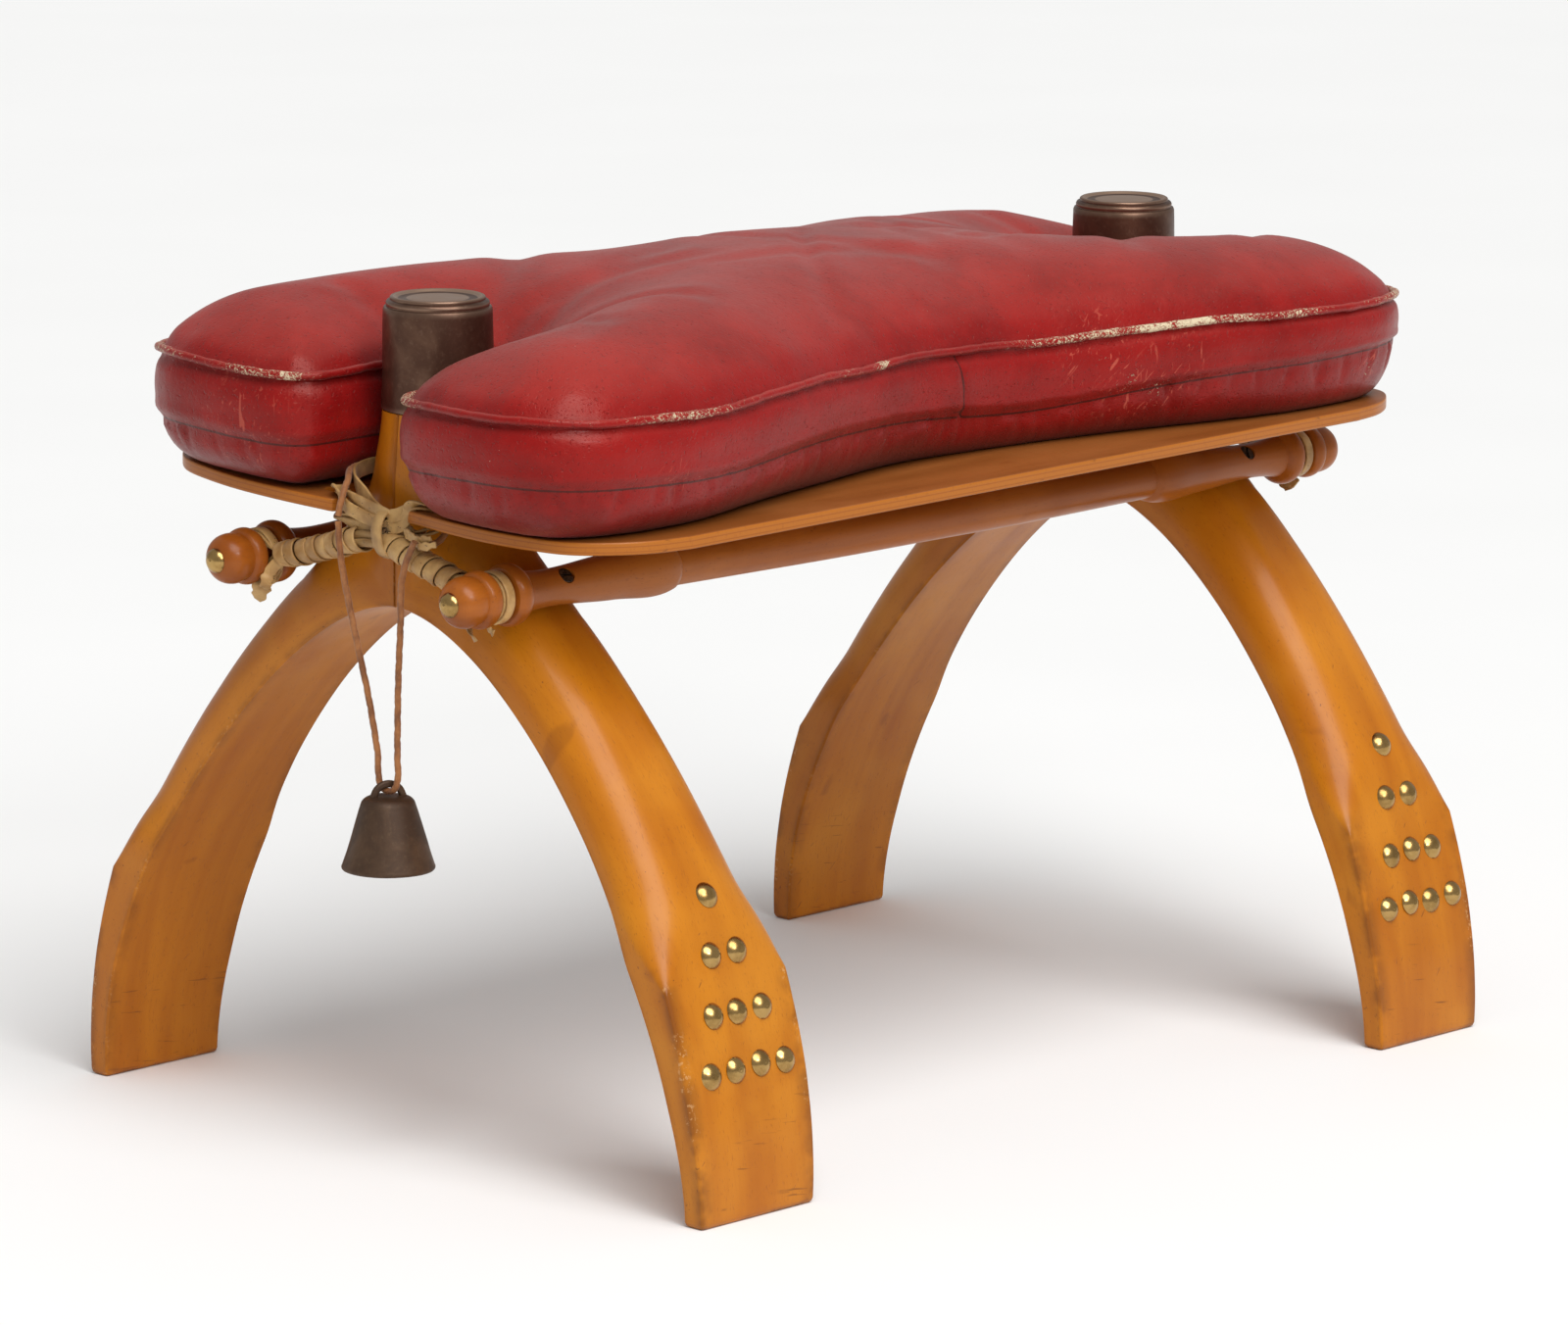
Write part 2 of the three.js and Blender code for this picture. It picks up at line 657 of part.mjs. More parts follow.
function crownedSlab(outline) {
  const columns = 26;
  const rows = 13;
  const slab = new THREE.BoxGeometry(660, 330, 1, columns, rows, 1);
  const p = slab.attributes.position;
  for (let i = 0; i < p.count; i += 1) {
    const [x, y] = [p.getX(i), p.getY(i)];
    const inside = Math.abs(x) < CUSHION_REACH.x && Math.abs(y) < CUSHION_REACH.y;
    const lift = inside ? crownShape(distanceToOutline(x, y, outline)) : 0;
    p.setZ(i, p.getZ(i) > 0 ? PIPING_Z + crownAt(x, y) * lift : SEAM_Z - BELLY * lift);
  }
  return slab;
}

function cushionGeometry() {
  const outline = fullOutline();
  const wall = new THREE.ExtrudeGeometry(new THREE.Shape(outline), {
    depth: 160, bevelEnabled: false, steps: 1,
  }).translate(0, 0, 290);
  return fromSolid(toSolid(wall).intersect(toSolid(crownedSlab(outline))));
}

// ---------------------------------------------------------------- lashings

const BUNDLE_TURNS = 15;

// Bundle of rawhide from one rod's neck to the other's, whipped over with more rawhide.
function bundleGeometry(end) {
  const points = [
    vec(end * 293.2, 69.6, 288), vec(end * 293.4, 48, 292.6), vec(end * 293.8, 24, 299.4),
    vec(end * 294, 4, 304.4), vec(end * 294, -8, 304.6), vec(end * 293.8, -26, 300),
    vec(end * 293.4, -48, 293.6), vec(end * 293.2, -69.6, 288),
  ];
  const radiusAt = (t) => {
    const nearMiddle = Math.abs(t - 0.5) < 0.055;
    const whipping = nearMiddle ? 0 : Math.abs(Math.sin(Math.PI * BUNDLE_TURNS * t));
    return 4.6 + 1.9 * whipping;
  };
  return sweep(points, radiusAt, BUNDLE_TURNS * 4, 7);
}

// Strap round the bundle's middle and the inner ends of both horn loops.
function centreTie(end) {
  const middleX = 294;
  const points = [];
  const corners = 12;
  for (let i = 0; i < corners; i += 1) {
    const a = (2 * Math.PI * i) / corners;
    const z = 308.6 + 10.8 * Math.sin(a);
    points.push(vec(end * (middleX + 8 * Math.cos(a)), -2 + 1.5 * Math.sin(a), z));
  }
  return sweep(points, () => 1.5, 16, 6, true);
}

// Loop from the centre tie round the horn of one board, between the board and the post.
function hornLoop(end, side) {
  const lift = side > 0 ? 0.6 : 0;
  const points = [
    [293.6, 1.5, 314], [296.4, 10, 318.4], [294.5, 22, 324.6], [289.5, 29, 326.4], [284.6, 31.5, 323.6],
    [283, 32, 318.6], [283.6, 31.5, 313.2], [288, 28.5, 310.4], [292, 19, 311.4], [292.6, 9, 313.2],
  ].map(([x, y, z]) => vec(end * x, side * y - 2, z + lift));
  return sweep(points, () => 1.6, 26, 6, true);
}

function neckRing(end, side) {
  const inner = ROD_NECK_R + 0.8;
  const outer = 12;
  const low = NECK_MIN_X + 0.9;
  const high = NECK_MAX_X - 0.9;
  const profile = [
    [inner, low + 0.8], [inner + 1, low], [outer - 1, low], [outer, low + 1.4],
    [outer, high - 1.4], [outer - 1, high], [inner + 1, high], [inner, high - 0.8], [inner, low + 0.8],
  ];
  const ring = turned(profile, 10).rotateY(end * (Math.PI / 2));
  return ring.translate(0, side * ROD_Y, ROD_Z);
}

// ---------------------------------------------------------------- bell and cord

const BIGHT_R = 6.7;             // bend of the cord under the bell's loop
const BIGHT_DROP = 3.7;          // from the loop's wire down to the cord, centre to centre

// The hanging loop of cord: left strand down, under the bell's loop, right strand up.
function bellCordRoute() {
  const [x, y] = [BELL_X, BELL_Y];
  const low = BELL_LOOP_Z - BIGHT_DROP;
  const bight = [];
  for (let degrees = 0; degrees <= 180; degrees += 30) {
    const a = (Math.PI * degrees) / 180;
    bight.push(vec(x, y + BIGHT_R * Math.cos(a), low + BIGHT_R * (1 - Math.sin(a))));
  }
  return [
    vec(x, 14.6, 312.8), vec(x - 0.4, 13.6, 303), vec(x - 0.6, 11.2, 290), vec(x, 6.8, 271.4),
    vec(x, 1, 252), vec(x, -5, 233), vec(x, -9.8, 214), vec(x, -12.4, 201),
    ...bight,
    vec(x, -26.1, 203), vec(x, -26.3, 216), vec(x, -27, 240), vec(x, -28.8, 268),
    vec(x - 0.6, -31, 292), vec(x - 0.4, -35.5, 303.5), vec(x, -39, 309.4),
  ];
}

// The tied part of the cord: up past the left horn, round the post, down behind the right horn.
function hitchRoute() {
  const post = -ARCH_X;
  return [
    vec(BELL_X + 0.2, 14.9, 315.2), vec(BELL_X + 3, 15, 324), vec(-293, 18.5, 331), vec(-280.5, 30, 333.4),
    vec(-266, 37.6, 333.4), vec(post, 40, 333), vec(-234, 35.4, 332.6), vec(-223, 21.5, 332.2),
    vec(-217.4, 0, 332), vec(-223, -21.5, 332), vec(-234, -35.4, 332), vec(post, -40.6, 332),
    vec(-266, -40.4, 331), vec(-277, -39.6, 327.4), vec(-282.2, -39.6, 320), vec(-284, -40, 311),
    vec(-290, -40.2, 307.6), vec(-299, -40, 307.6),
  ];
}

function bellGeometry() {
  const top = BELL_SHOULDER_Z;
  const rim = top - BELL_HEIGHT;
  const profile = [
    [0, top + 0.6], [9, top], [12.2, top - 1], [13.6, top - 3.4], [15.8, top - 11], [18.4, top - 20],
    [20.8, top - 28.4], [BELL_R - 0.4, rim + 2.4], [BELL_R, rim + 0.9], [BELL_R - 0.6, rim],
    [BELL_R - 2, rim + 0.3], [19.1, top - 30], [17.2, top - 23], [14.2, top - 12], [11.6, top - 3.8],
    [8, top - 2.3], [0, top - 2],
  ];
  const body = turned(profile, 24).translate(BELL_X, BELL_Y, 0);
  const loopRadius = BELL_LOOP_Z - top + 0.8;
  const loop = halfLoop(vec(BELL_X, BELL_Y, top - 0.8), vec(1, 0, 0), vec(0, 0, 1), loopRadius, 1.7, 10);
  const staple = halfLoop(vec(BELL_X, BELL_Y, top - 1.4), vec(0, 1, 0), vec(0, 0, -1), 3.8, 0.8, 8);
  return join([body, loop, staple]);
}

// Half a ring of wire standing on a face.
function halfLoop(centre, across, up, radius, wire, steps) {
  const points = [];
  for (let i = 0; i <= steps; i += 1) {
    const a = Math.PI * (i / steps);
    points.push(centre.clone()
      .addScaledVector(across, radius * Math.cos(a))
      .addScaledVector(up, radius * Math.sin(a)));
  }
  return sweep(points, () => wire, steps, 8);
}

const CLAPPER_PIVOT_Z = BELL_SHOULDER_Z - 1.4 - 3.8;

function clapperGeometry() {
  const eyeR = 2.3;
  const wire = 0.7;
  const eyeCentre = vec(BELL_X, BELL_Y, CLAPPER_PIVOT_Z - (eyeR - wire - 0.8 - GAP));
  const eyePoints = [];
  for (let i = 0; i < 10; i += 1) {
    const a = (2 * Math.PI * i) / 10;
    eyePoints.push(vec(eyeCentre.x + eyeR * Math.cos(a), eyeCentre.y, eyeCentre.z + eyeR * Math.sin(a)));
  }
  const eye = sweep(eyePoints, () => wire, 12, 6, true);
  const stemTop = eyeCentre.z - eyeR;
  const ballZ = BELL_SHOULDER_Z - BELL_HEIGHT + 1.5;
  const stem = [
    [0, stemTop + 0.3], [1, stemTop - 0.2], [1.2, ballZ + 5], [3, ballZ + 3.6], [4.2, ballZ + 0.8],
    [3.9, ballZ - 1.4], [2.2, ballZ - 3.6], [0, ballZ - 4.2],
  ];
  const body = turned(stem.reverse(), 10).rotateZ(FACET_TURN).translate(BELL_X, BELL_Y, 0);
  return join([eye, body]);
}

// ---------------------------------------------------------------- the whole stool

const ENDS = [['front', -1], ['rear', 1]];
const SIDES = [['left', 1], ['right', -1]];

for (const [endName, end] of ENDS) {
  for (const [sideName, side] of SIDES) {
    const place = `${endName}_${sideName}`;
    add(`arch_${place}`, archHalf(end, side), 'beech');
    add(`nails_${place}`, nailTriangle(end, side), 'brass');
    add(`rod_screw_${place}`, screwGeometry(end, side), 'steel');
    add(`finial_dome_${place}`, finialDome(end, side), 'brass');
    add(`horn_loop_${place}`, hornLoop(end, side), 'rawhide');
    add(`neck_ring_${place}`, neckRing(end, side), 'rawhide');
  }
  DOWELS.forEach((dowel, i) => {
    const half = dowel.length / 2;
    const from = vec(end * ARCH_X, -half, dowel.z);
    const to = vec(end * ARCH_X, half, dowel.z);
    add(`arch_dowel_${endName}_${i === 0 ? 'lower' : 'upper'}`, cylinder(DOWEL_R, from, to, 12), 'dowel');
  });
  add(`pommel_cap_${endName}`, capGeometry(end), 'cap');
  add(`lashing_bundle_${endName}`, bundleGeometry(end), 'rawhide');
  add(`lashing_tie_${endName}`, centreTie(end), 'rawhide');
}

for (const [sideName, side] of SIDES) {
  add(`side_rod_${sideName}`, rodGeometry(side), 'beech_rod');
  add(`seat_board_${sideName}`, boardGeometry(BOARDS[sideName]), 'plywood');
}

add('cushion', cushionGeometry(), 'leather');
add('bell', bellGeometry(), 'bronze');
add('bell_clapper', clapperGeometry(), 'bronze');
add('bell_cord', cordTube(bellCordRoute(), CORD_R, 60), 'cord');
add('bell_cord_hitch', cordTube(hitchRoute(), CORD_R, 34), 'cord');

export default part;
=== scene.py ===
"""Camel saddle stool: its looks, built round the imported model. Lengths are in mm until a mesh is made."""
import math
import random

import bmesh
import bpy
import numpy as np
from mathutils import Matrix, Vector
from mathutils.kdtree import KDTree


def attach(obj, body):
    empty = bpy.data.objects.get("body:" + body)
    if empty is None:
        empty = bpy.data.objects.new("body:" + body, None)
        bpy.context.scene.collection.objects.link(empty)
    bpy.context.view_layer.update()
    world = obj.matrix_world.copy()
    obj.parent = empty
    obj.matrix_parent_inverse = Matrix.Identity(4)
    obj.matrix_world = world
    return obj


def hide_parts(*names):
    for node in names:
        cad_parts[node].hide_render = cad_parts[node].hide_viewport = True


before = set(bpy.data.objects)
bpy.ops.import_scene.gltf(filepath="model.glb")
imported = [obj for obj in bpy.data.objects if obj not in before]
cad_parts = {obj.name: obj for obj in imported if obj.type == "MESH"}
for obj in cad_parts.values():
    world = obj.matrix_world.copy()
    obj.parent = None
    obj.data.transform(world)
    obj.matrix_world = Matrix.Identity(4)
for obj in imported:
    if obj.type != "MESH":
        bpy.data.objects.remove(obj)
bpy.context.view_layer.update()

MM = 0.001
ENDS = {"front": -1, "rear": 1}
SIDES = {"left": 1, "right": -1}
SCENE = bpy.context.scene


# ---- camera and cord route

CAMERA_PLACE = (-2.8949, -2.7728, 0.9909)
CAMERA_TURN = math.radians(-45.879)
CAMERA_LIFT = math.radians(11.227)
CAMERA_ROLL = math.radians(0.194)
CAMERA_LENS = 183.7
CAMERA_SHIFT = (0.0248, 0.0098)


def make_camera():
    back = Vector((
        math.sin(CAMERA_TURN) * math.cos(CAMERA_LIFT),
        -math.cos(CAMERA_TURN) * math.cos(CAMERA_LIFT),
        math.sin(CAMERA_LIFT),
    ))
    right = (-back).cross(Vector((0, 0, 1))).normalized()
    up = right.cross(-back)
    c, s = math.cos(CAMERA_ROLL), math.sin(CAMERA_ROLL)
    turned = Matrix((right * c + up * s, up * c - right * s, back)).transposed()
    data = bpy.data.cameras.new("camera")
    data.lens = CAMERA_LENS
    data.sensor_width = 36
    data.shift_x, data.shift_y = CAMERA_SHIFT
    data.clip_end = 50
    camera = bpy.data.objects.new("camera", data)
    camera.matrix_world = Matrix.Translation(CAMERA_PLACE) @ turned.to_4x4()
    SCENE.collection.objects.link(camera)
    SCENE.camera = camera


BELL_X, BELL_Y = -303, -19.5
BELL_LOOP_Z = 188.4
BIGHT_R = 6.7
BIGHT_DROP = 3.7
CORD_R = 1.65
TWIST_PITCH = 11


def bell_cord_route():
    """The loop the bell hangs on, from the hitch down round the bell's handle and up again."""
    low = BELL_LOOP_Z - BIGHT_DROP
    x, y = BELL_X, BELL_Y
    bight = []
    for degrees in range(0, 181, 30):
        a = math.radians(degrees)
        bight.append((x, y + BIGHT_R * math.cos(a), low + BIGHT_R * (1 - math.sin(a))))
    return [
        (x, 14.6, 312.8), (x - 0.4, 13.6, 303), (x - 0.6, 11.2, 290), (x, 6.8, 271.4),
        (x, 1, 252), (x, -5, 233), (x, -9.8, 214), (x, -12.4, 201),
        *bight,
        (x, -26.1, 203), (x, -26.3, 216), (x, -27, 240), (x, -28.8, 268),
        (x - 0.6, -31, 292), (x - 0.4, -35.5, 303.5), (x, -39, 309.4),
    ]


# The same cord where it is tied: up, round the post and back to the loop's other end.
HITCH_ROUTE = [
    (-302.8, 14.9, 315.2), (-300, 15, 324), (-293, 18.5, 331), (-280.5, 30, 333.4),
    (-266, 37.6, 333.4), (-250, 40, 333), (-234, 35.4, 332.6), (-223, 21.5, 332.2),
    (-217.4, 0, 332), (-223, -21.5, 332), (-234, -35.4, 332), (-250, -40.6, 332),
    (-266, -40.4, 331), (-277, -39.6, 327.4), (-282.2, -39.6, 320), (-284, -40, 311),
    (-290, -40.2, 307.6), (-299, -40, 307.6),
]


# ---- numbers and curves

def clamp01(x):
    return np.clip(x, 0.0, 1.0)


def smooth(x):
    x = clamp01(x)
    return x * x * (3 - 2 * x)


def mix(a, b, t):
    return a + (b - a) * t


def unit(v):
    v = np.asarray(v, float)
    return v / np.linalg.norm(v, axis=-1, keepdims=True)


def bell_curve(x):
    return np.exp(-x * x)


def turn_steps(count):
    """Angles at even steps of one full turn."""
    return np.linspace(0, 2 * math.pi, count, endpoint=False)


def circle(count):
    """Points of a unit circle."""
    turn = turn_steps(count)
    return np.stack([np.cos(turn), np.sin(turn)], axis=1)


def length_along(line):
    """How far each point of a line is from its start, along it."""
    return np.concatenate([[0], np.cumsum(np.linalg.norm(np.diff(line, axis=0), axis=1))])


def loop_tangents(loop):
    return unit(np.roll(loop, -1, 0) - np.roll(loop, 1, 0))


def loop_normals(loop):
    """Directions across a flat loop, all to the same side of it."""
    along = loop_tangents(loop)
    return np.stack([along[:, 1], -along[:, 0]], axis=1)


def resample(line, count, closed=False):
    """Points at even steps along a fine line; a closed line repeats its first point at the end."""
    reach = length_along(line)
    at = np.linspace(0, reach[-1], count, endpoint=not closed)
    return np.stack([np.interp(at, reach, line[:, k]) for k in range(line.shape[1])], axis=1)


def spline(points, count, closed=False):
    """A smooth curve through the points, read at even steps."""
    p = np.array(points, float)
    if closed:
        p = np.vstack([p[-1], p, p[0], p[1]])
    else:
        p = np.vstack([2 * p[0] - p[1], p, 2 * p[-1] - p[-2]])
    d = np.linalg.norm(np.diff(p, axis=0), axis=1)
    slope = np.diff(p, axis=0) / d[:, None]
    share = (d[:-1] / (d[:-1] + d[1:]))[:, None]
    tangent = slope[:-1] * (1 - share) + slope[1:] * share
    u = np.linspace(0, 1, 24, endpoint=False)[:, None]
    pieces = []
    for i in range(len(tangent) - 1):
        a, b = p[i + 1], p[i + 2]
        ta, tb = tangent[i] * d[i + 1], tangent[i + 1] * d[i + 1]
        pieces.append(
            a * (2 * u**3 - 3 * u**2 + 1) + ta * (u**3 - 2 * u**2 + u)
            + b * (3 * u**2 - 2 * u**3) + tb * (u**3 - u**2)
        )
    return resample(np.vstack(pieces + [p[-2][None]]), count, closed)


def path_frames(path, closed=False, up=None):
    """Tangent and two cross directions along a path; up, one or one a point, steers the second."""
    tangent = loop_tangents(path) if closed else unit(np.gradient(path, axis=0))
    if up is not None:
        up = np.broadcast_to(np.asarray(up, float), tangent.shape)
        v = unit(up - np.sum(tangent * up, axis=1, keepdims=True) * tangent)
        return tangent, np.cross(v, tangent), v
    start = np.cross(tangent[0], (0.3, 0.2, 1.0))
    v = [start / np.linalg.norm(start)]
    for t in tangent[1:]:
        w = v[-1] - t * (v[-1] @ t)
        v.append(w / np.linalg.norm(w))
    v = np.array(v)
    return tangent, np.cross(v, tangent), v


# ---- meshes

def grid_faces(rows, columns, looped=False):
    """Quads of a tube: each row is a ring of points."""
    faces = []
    for i in range(rows if looped else rows - 1):
        a, b = i * columns, ((i + 1) % rows) * columns
        for j in range(columns):
            k = (j + 1) % columns
            faces.append((a + j, a + k, b + k, b + j))
    return faces


def tube(rings, looped=False):
    """A closed shell from rings of points, (rows, columns, 3)."""
    rings = np.asarray(rings, float)
    rows, columns, _ = rings.shape
    faces = grid_faces(rows, columns, looped)
    if not looped:
        faces.append(tuple(range(columns)))
        faces.append(tuple(range((rows - 1) * columns, rows * columns)))
    return rings.reshape(-1, 3), faces


def sweep(path, section, closed=False, up=None):
    """A section, (columns, 2) or (rows, columns, 2), carried along a path."""
    section = np.asarray(section, float)
    if section.ndim == 2:
        section = np.repeat(section[None], len(path), axis=0)
    _, u, v = path_frames(path, closed, up)
    rings = path[:, None] + section[..., :1] * u[:, None] + section[..., 1:] * v[:, None]
    return tube(rings, closed)


def lathe(profile, steps, wobble=None):
    """A turned solid about Z from (radius, z) points, open ends closed on the axis."""
    profile = np.asarray(profile, float)
    turn = turn_steps(steps)
    radius = np.maximum(profile[:, 0], 0.001)[:, None] * np.ones(steps)
    if wobble is not None:
        radius = radius + wobble(turn[None, :], profile[:, 1][:, None])
    z = profile[:, 1][:, None] * np.ones(steps)
    return tube(np.stack([radius * np.cos(turn), radius * np.sin(turn), z], axis=-1))


def aimed(shell, direction, place):
    """A shell built about Z, turned to a direction and moved."""
    points, faces = shell
    turn = np.array(Vector((0, 0, 1)).rotation_difference(Vector(direction)).to_matrix())
    return points @ turn.T + np.asarray(place, float), faces


def moved(shell, x, y=0):
    points, faces = shell
    return points + np.array([x, y, 0]), faces


def merged(shells):
    points, faces, base = [], [], 0
    for p, f in shells:
        points.append(p)
        faces += [tuple(i + base for i in face) for face in f]
        base += len(p)
    return np.vstack(points), faces


def flipped(shell, x, y):
    points, faces = shell
    return points * np.array([x, y, 1]), faces


def rounded_box(width, height, corner, steps=3):
    """A flat thong's section: a rectangle with round corners."""
    points = []
    for cx, cy, start in ((1, 1, 0), (-1, 1, 90), (-1, -1, 180), (1, -1, 270)):
        for i in range(steps + 1):
            a = math.radians(start + 90 * i / steps)
            points.append((
                cx * (width / 2 - corner) + corner * math.cos(a),
                cy * (height / 2 - corner) + corner * math.sin(a),
            ))
    return np.array(points)


def new_object(name, shell):
    points, faces = shell
    mesh = bpy.data.meshes.new(name)
    mesh.from_pydata((np.asarray(points) * MM).tolist(), [], faces)
    build = bmesh.new()
    build.from_mesh(mesh)
    bmesh.ops.recalc_face_normals(build, faces=build.faces)
    build.to_mesh(mesh)
    build.free()
    obj = bpy.data.objects.new(name, mesh)
    SCENE.collection.objects.link(obj)
    return obj


def dress(obj, body, material, stands_for=(), sharp=50):
    mesh = obj.data
    mesh.materials.clear()
    mesh.materials.append(material)
    mesh.shade_smooth()
    mesh.set_sharp_from_angle(angle=math.radians(sharp))
    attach(obj, body)
    if stands_for:
        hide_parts(*stands_for)
    return obj


def make_piece(node, ending, shell, material, sharp):
    """A fixed piece that takes the place of one node of the frame."""
    obj = new_object(f"{node}_{ending}", shell)
    return dress(obj, "frame", material, [node], sharp)


def corners():
    """The stool's four corners: the ending of their names, and which way they lie."""
    for end, x in ENDS.items():
        for side, y in SIDES.items():
            yield f"{end}_{side}", x, y


def paint(obj, name, values):
    """Stores a number or a vector for each point, read by the materials."""
    values = np.asarray(values, np.float32)
    vector = values.ndim == 2
    layer = obj.data.attributes.new(name, "FLOAT_VECTOR" if vector else "FLOAT", "POINT")
    layer.data.foreach_set("vector" if vector else "value", values.ravel())


def read_points(mesh):
    points = np.empty(len(mesh.vertices) * 3, np.float32)
    mesh.vertices.foreach_get("co", points)
    return points.reshape(-1, 3).astype(float) / MM


def write_points(mesh, points):
    mesh.vertices.foreach_set("co", (points * MM).astype(np.float32).ravel())
    mesh.update()


def applied(obj):
    """Replaces the object's mesh with the result of its modifiers."""
    bpy.context.view_layer.update()
    depsgraph = bpy.context.evaluated_depsgraph_get()
    mesh = bpy.data.meshes.new_from_object(obj.evaluated_get(depsgraph))
    obj.modifiers.clear()
    obj.data = mesh


# ---- materials

def srgb(r, g, b):
    def linear(c):
        c /= 255
        return c / 12.92 if c <= 0.04045 else ((c + 0.055) / 1.055) ** 2.4
    return (linear(r), linear(g), linear(b), 1.0)


class Graph:
    """A procedural material. Each call adds a node and gives the socket it feeds others with."""

    def __init__(self, name, **fixed):
        self.material = bpy.data.materials.new(name)
        self.material.use_nodes = True
        self.tree = self.material.node_tree
        self.shader = self.tree.nodes["Principled BSDF"]
        for key, value in fixed.items():
            self.shader.inputs[key.replace("_", " ")].default_value = value

    def put(self, kind, out, inputs, **settings):
        node = self.tree.nodes.new("ShaderNode" + kind)
        for key, value in settings.items():
            setattr(node, key, value)
        for key, value in inputs.items():
            self.feed(node.inputs[key], value)
        return node.outputs[out]

    def feed(self, socket, value):
        if isinstance(value, bpy.types.NodeSocket):
            self.tree.links.new(value, socket)
        else:
            socket.default_value = value

    def place(self):
        return self.put("TexCoord", "Object", {})

    def painted(self, name, out="Fac"):
        return self.put("Attribute", out, {}, attribute_name=name)

    def stretch(self, vector, x, y, z):
        return self.put("VectorMath", 0, {0: vector, 1: (x, y, z)}, operation="MULTIPLY")

    def noise(self, vector, scale, detail=3, rough=0.5, distortion=0.0):
        return self.put("TexNoise", 0, {
            "Vector": vector, "Scale": scale, "Detail": detail, "Roughness": rough,
            "Distortion": distortion,
        })

    def cells(self, vector, scale, feature="F1"):
        return self.put("TexVoronoi", "Distance", {"Vector": vector, "Scale": scale}, feature=feature)

    def turned(self, vector, axis, angle):
        return self.put("VectorRotate", 0, {"Vector": vector, "Axis": axis, "Angle": angle})

    def calc(self, operation, a, b=0.0, clamp=False):
        return self.put("Math", 0, {0: a, 1: b}, operation=operation, use_clamp=clamp)

    def plus(self, a, b):
        return self.calc("ADD", a, b)

    def minus(self, a, b, clamp=False):
        return self.calc("SUBTRACT", a, b, clamp)

    def times(self, a, b):
        return self.calc("MULTIPLY", a, b)

    def step(self, value, low, high):
        """The value's place between two limits, as a smooth step from 0 to 1."""
        inputs = {"Value": value, 1: low, 2: high}
        return self.put("MapRange", 0, inputs, interpolation_type="SMOOTHSTEP")

    def blend(self, share, a, b):
        return self.put("Mix", 2, {0: share, 6: a, 7: b}, data_type="RGBA")

    def tint(self, colour, share, strength, tone):
        return self.blend(self.times(share, strength), colour, tone)

    def patches(self, texture, low, high):
        """Soft-edged patches where a noise texture passes between two limits."""
        return self.step(self.noise(*texture), low, high)

    def bump(self, height, depth_mm, strength):
        return self.put("Bump", 0, {"Height": height, "Distance": depth_mm * MM, "Strength": strength})

    def finish(self, colour, roughness, normal=None):
        self.feed(self.shader.inputs["Base Color"], colour)
        self.feed(self.shader.inputs["Roughness"], roughness)
        if normal is not None:
            self.feed(self.shader.inputs["Normal"], normal)
        return self.material


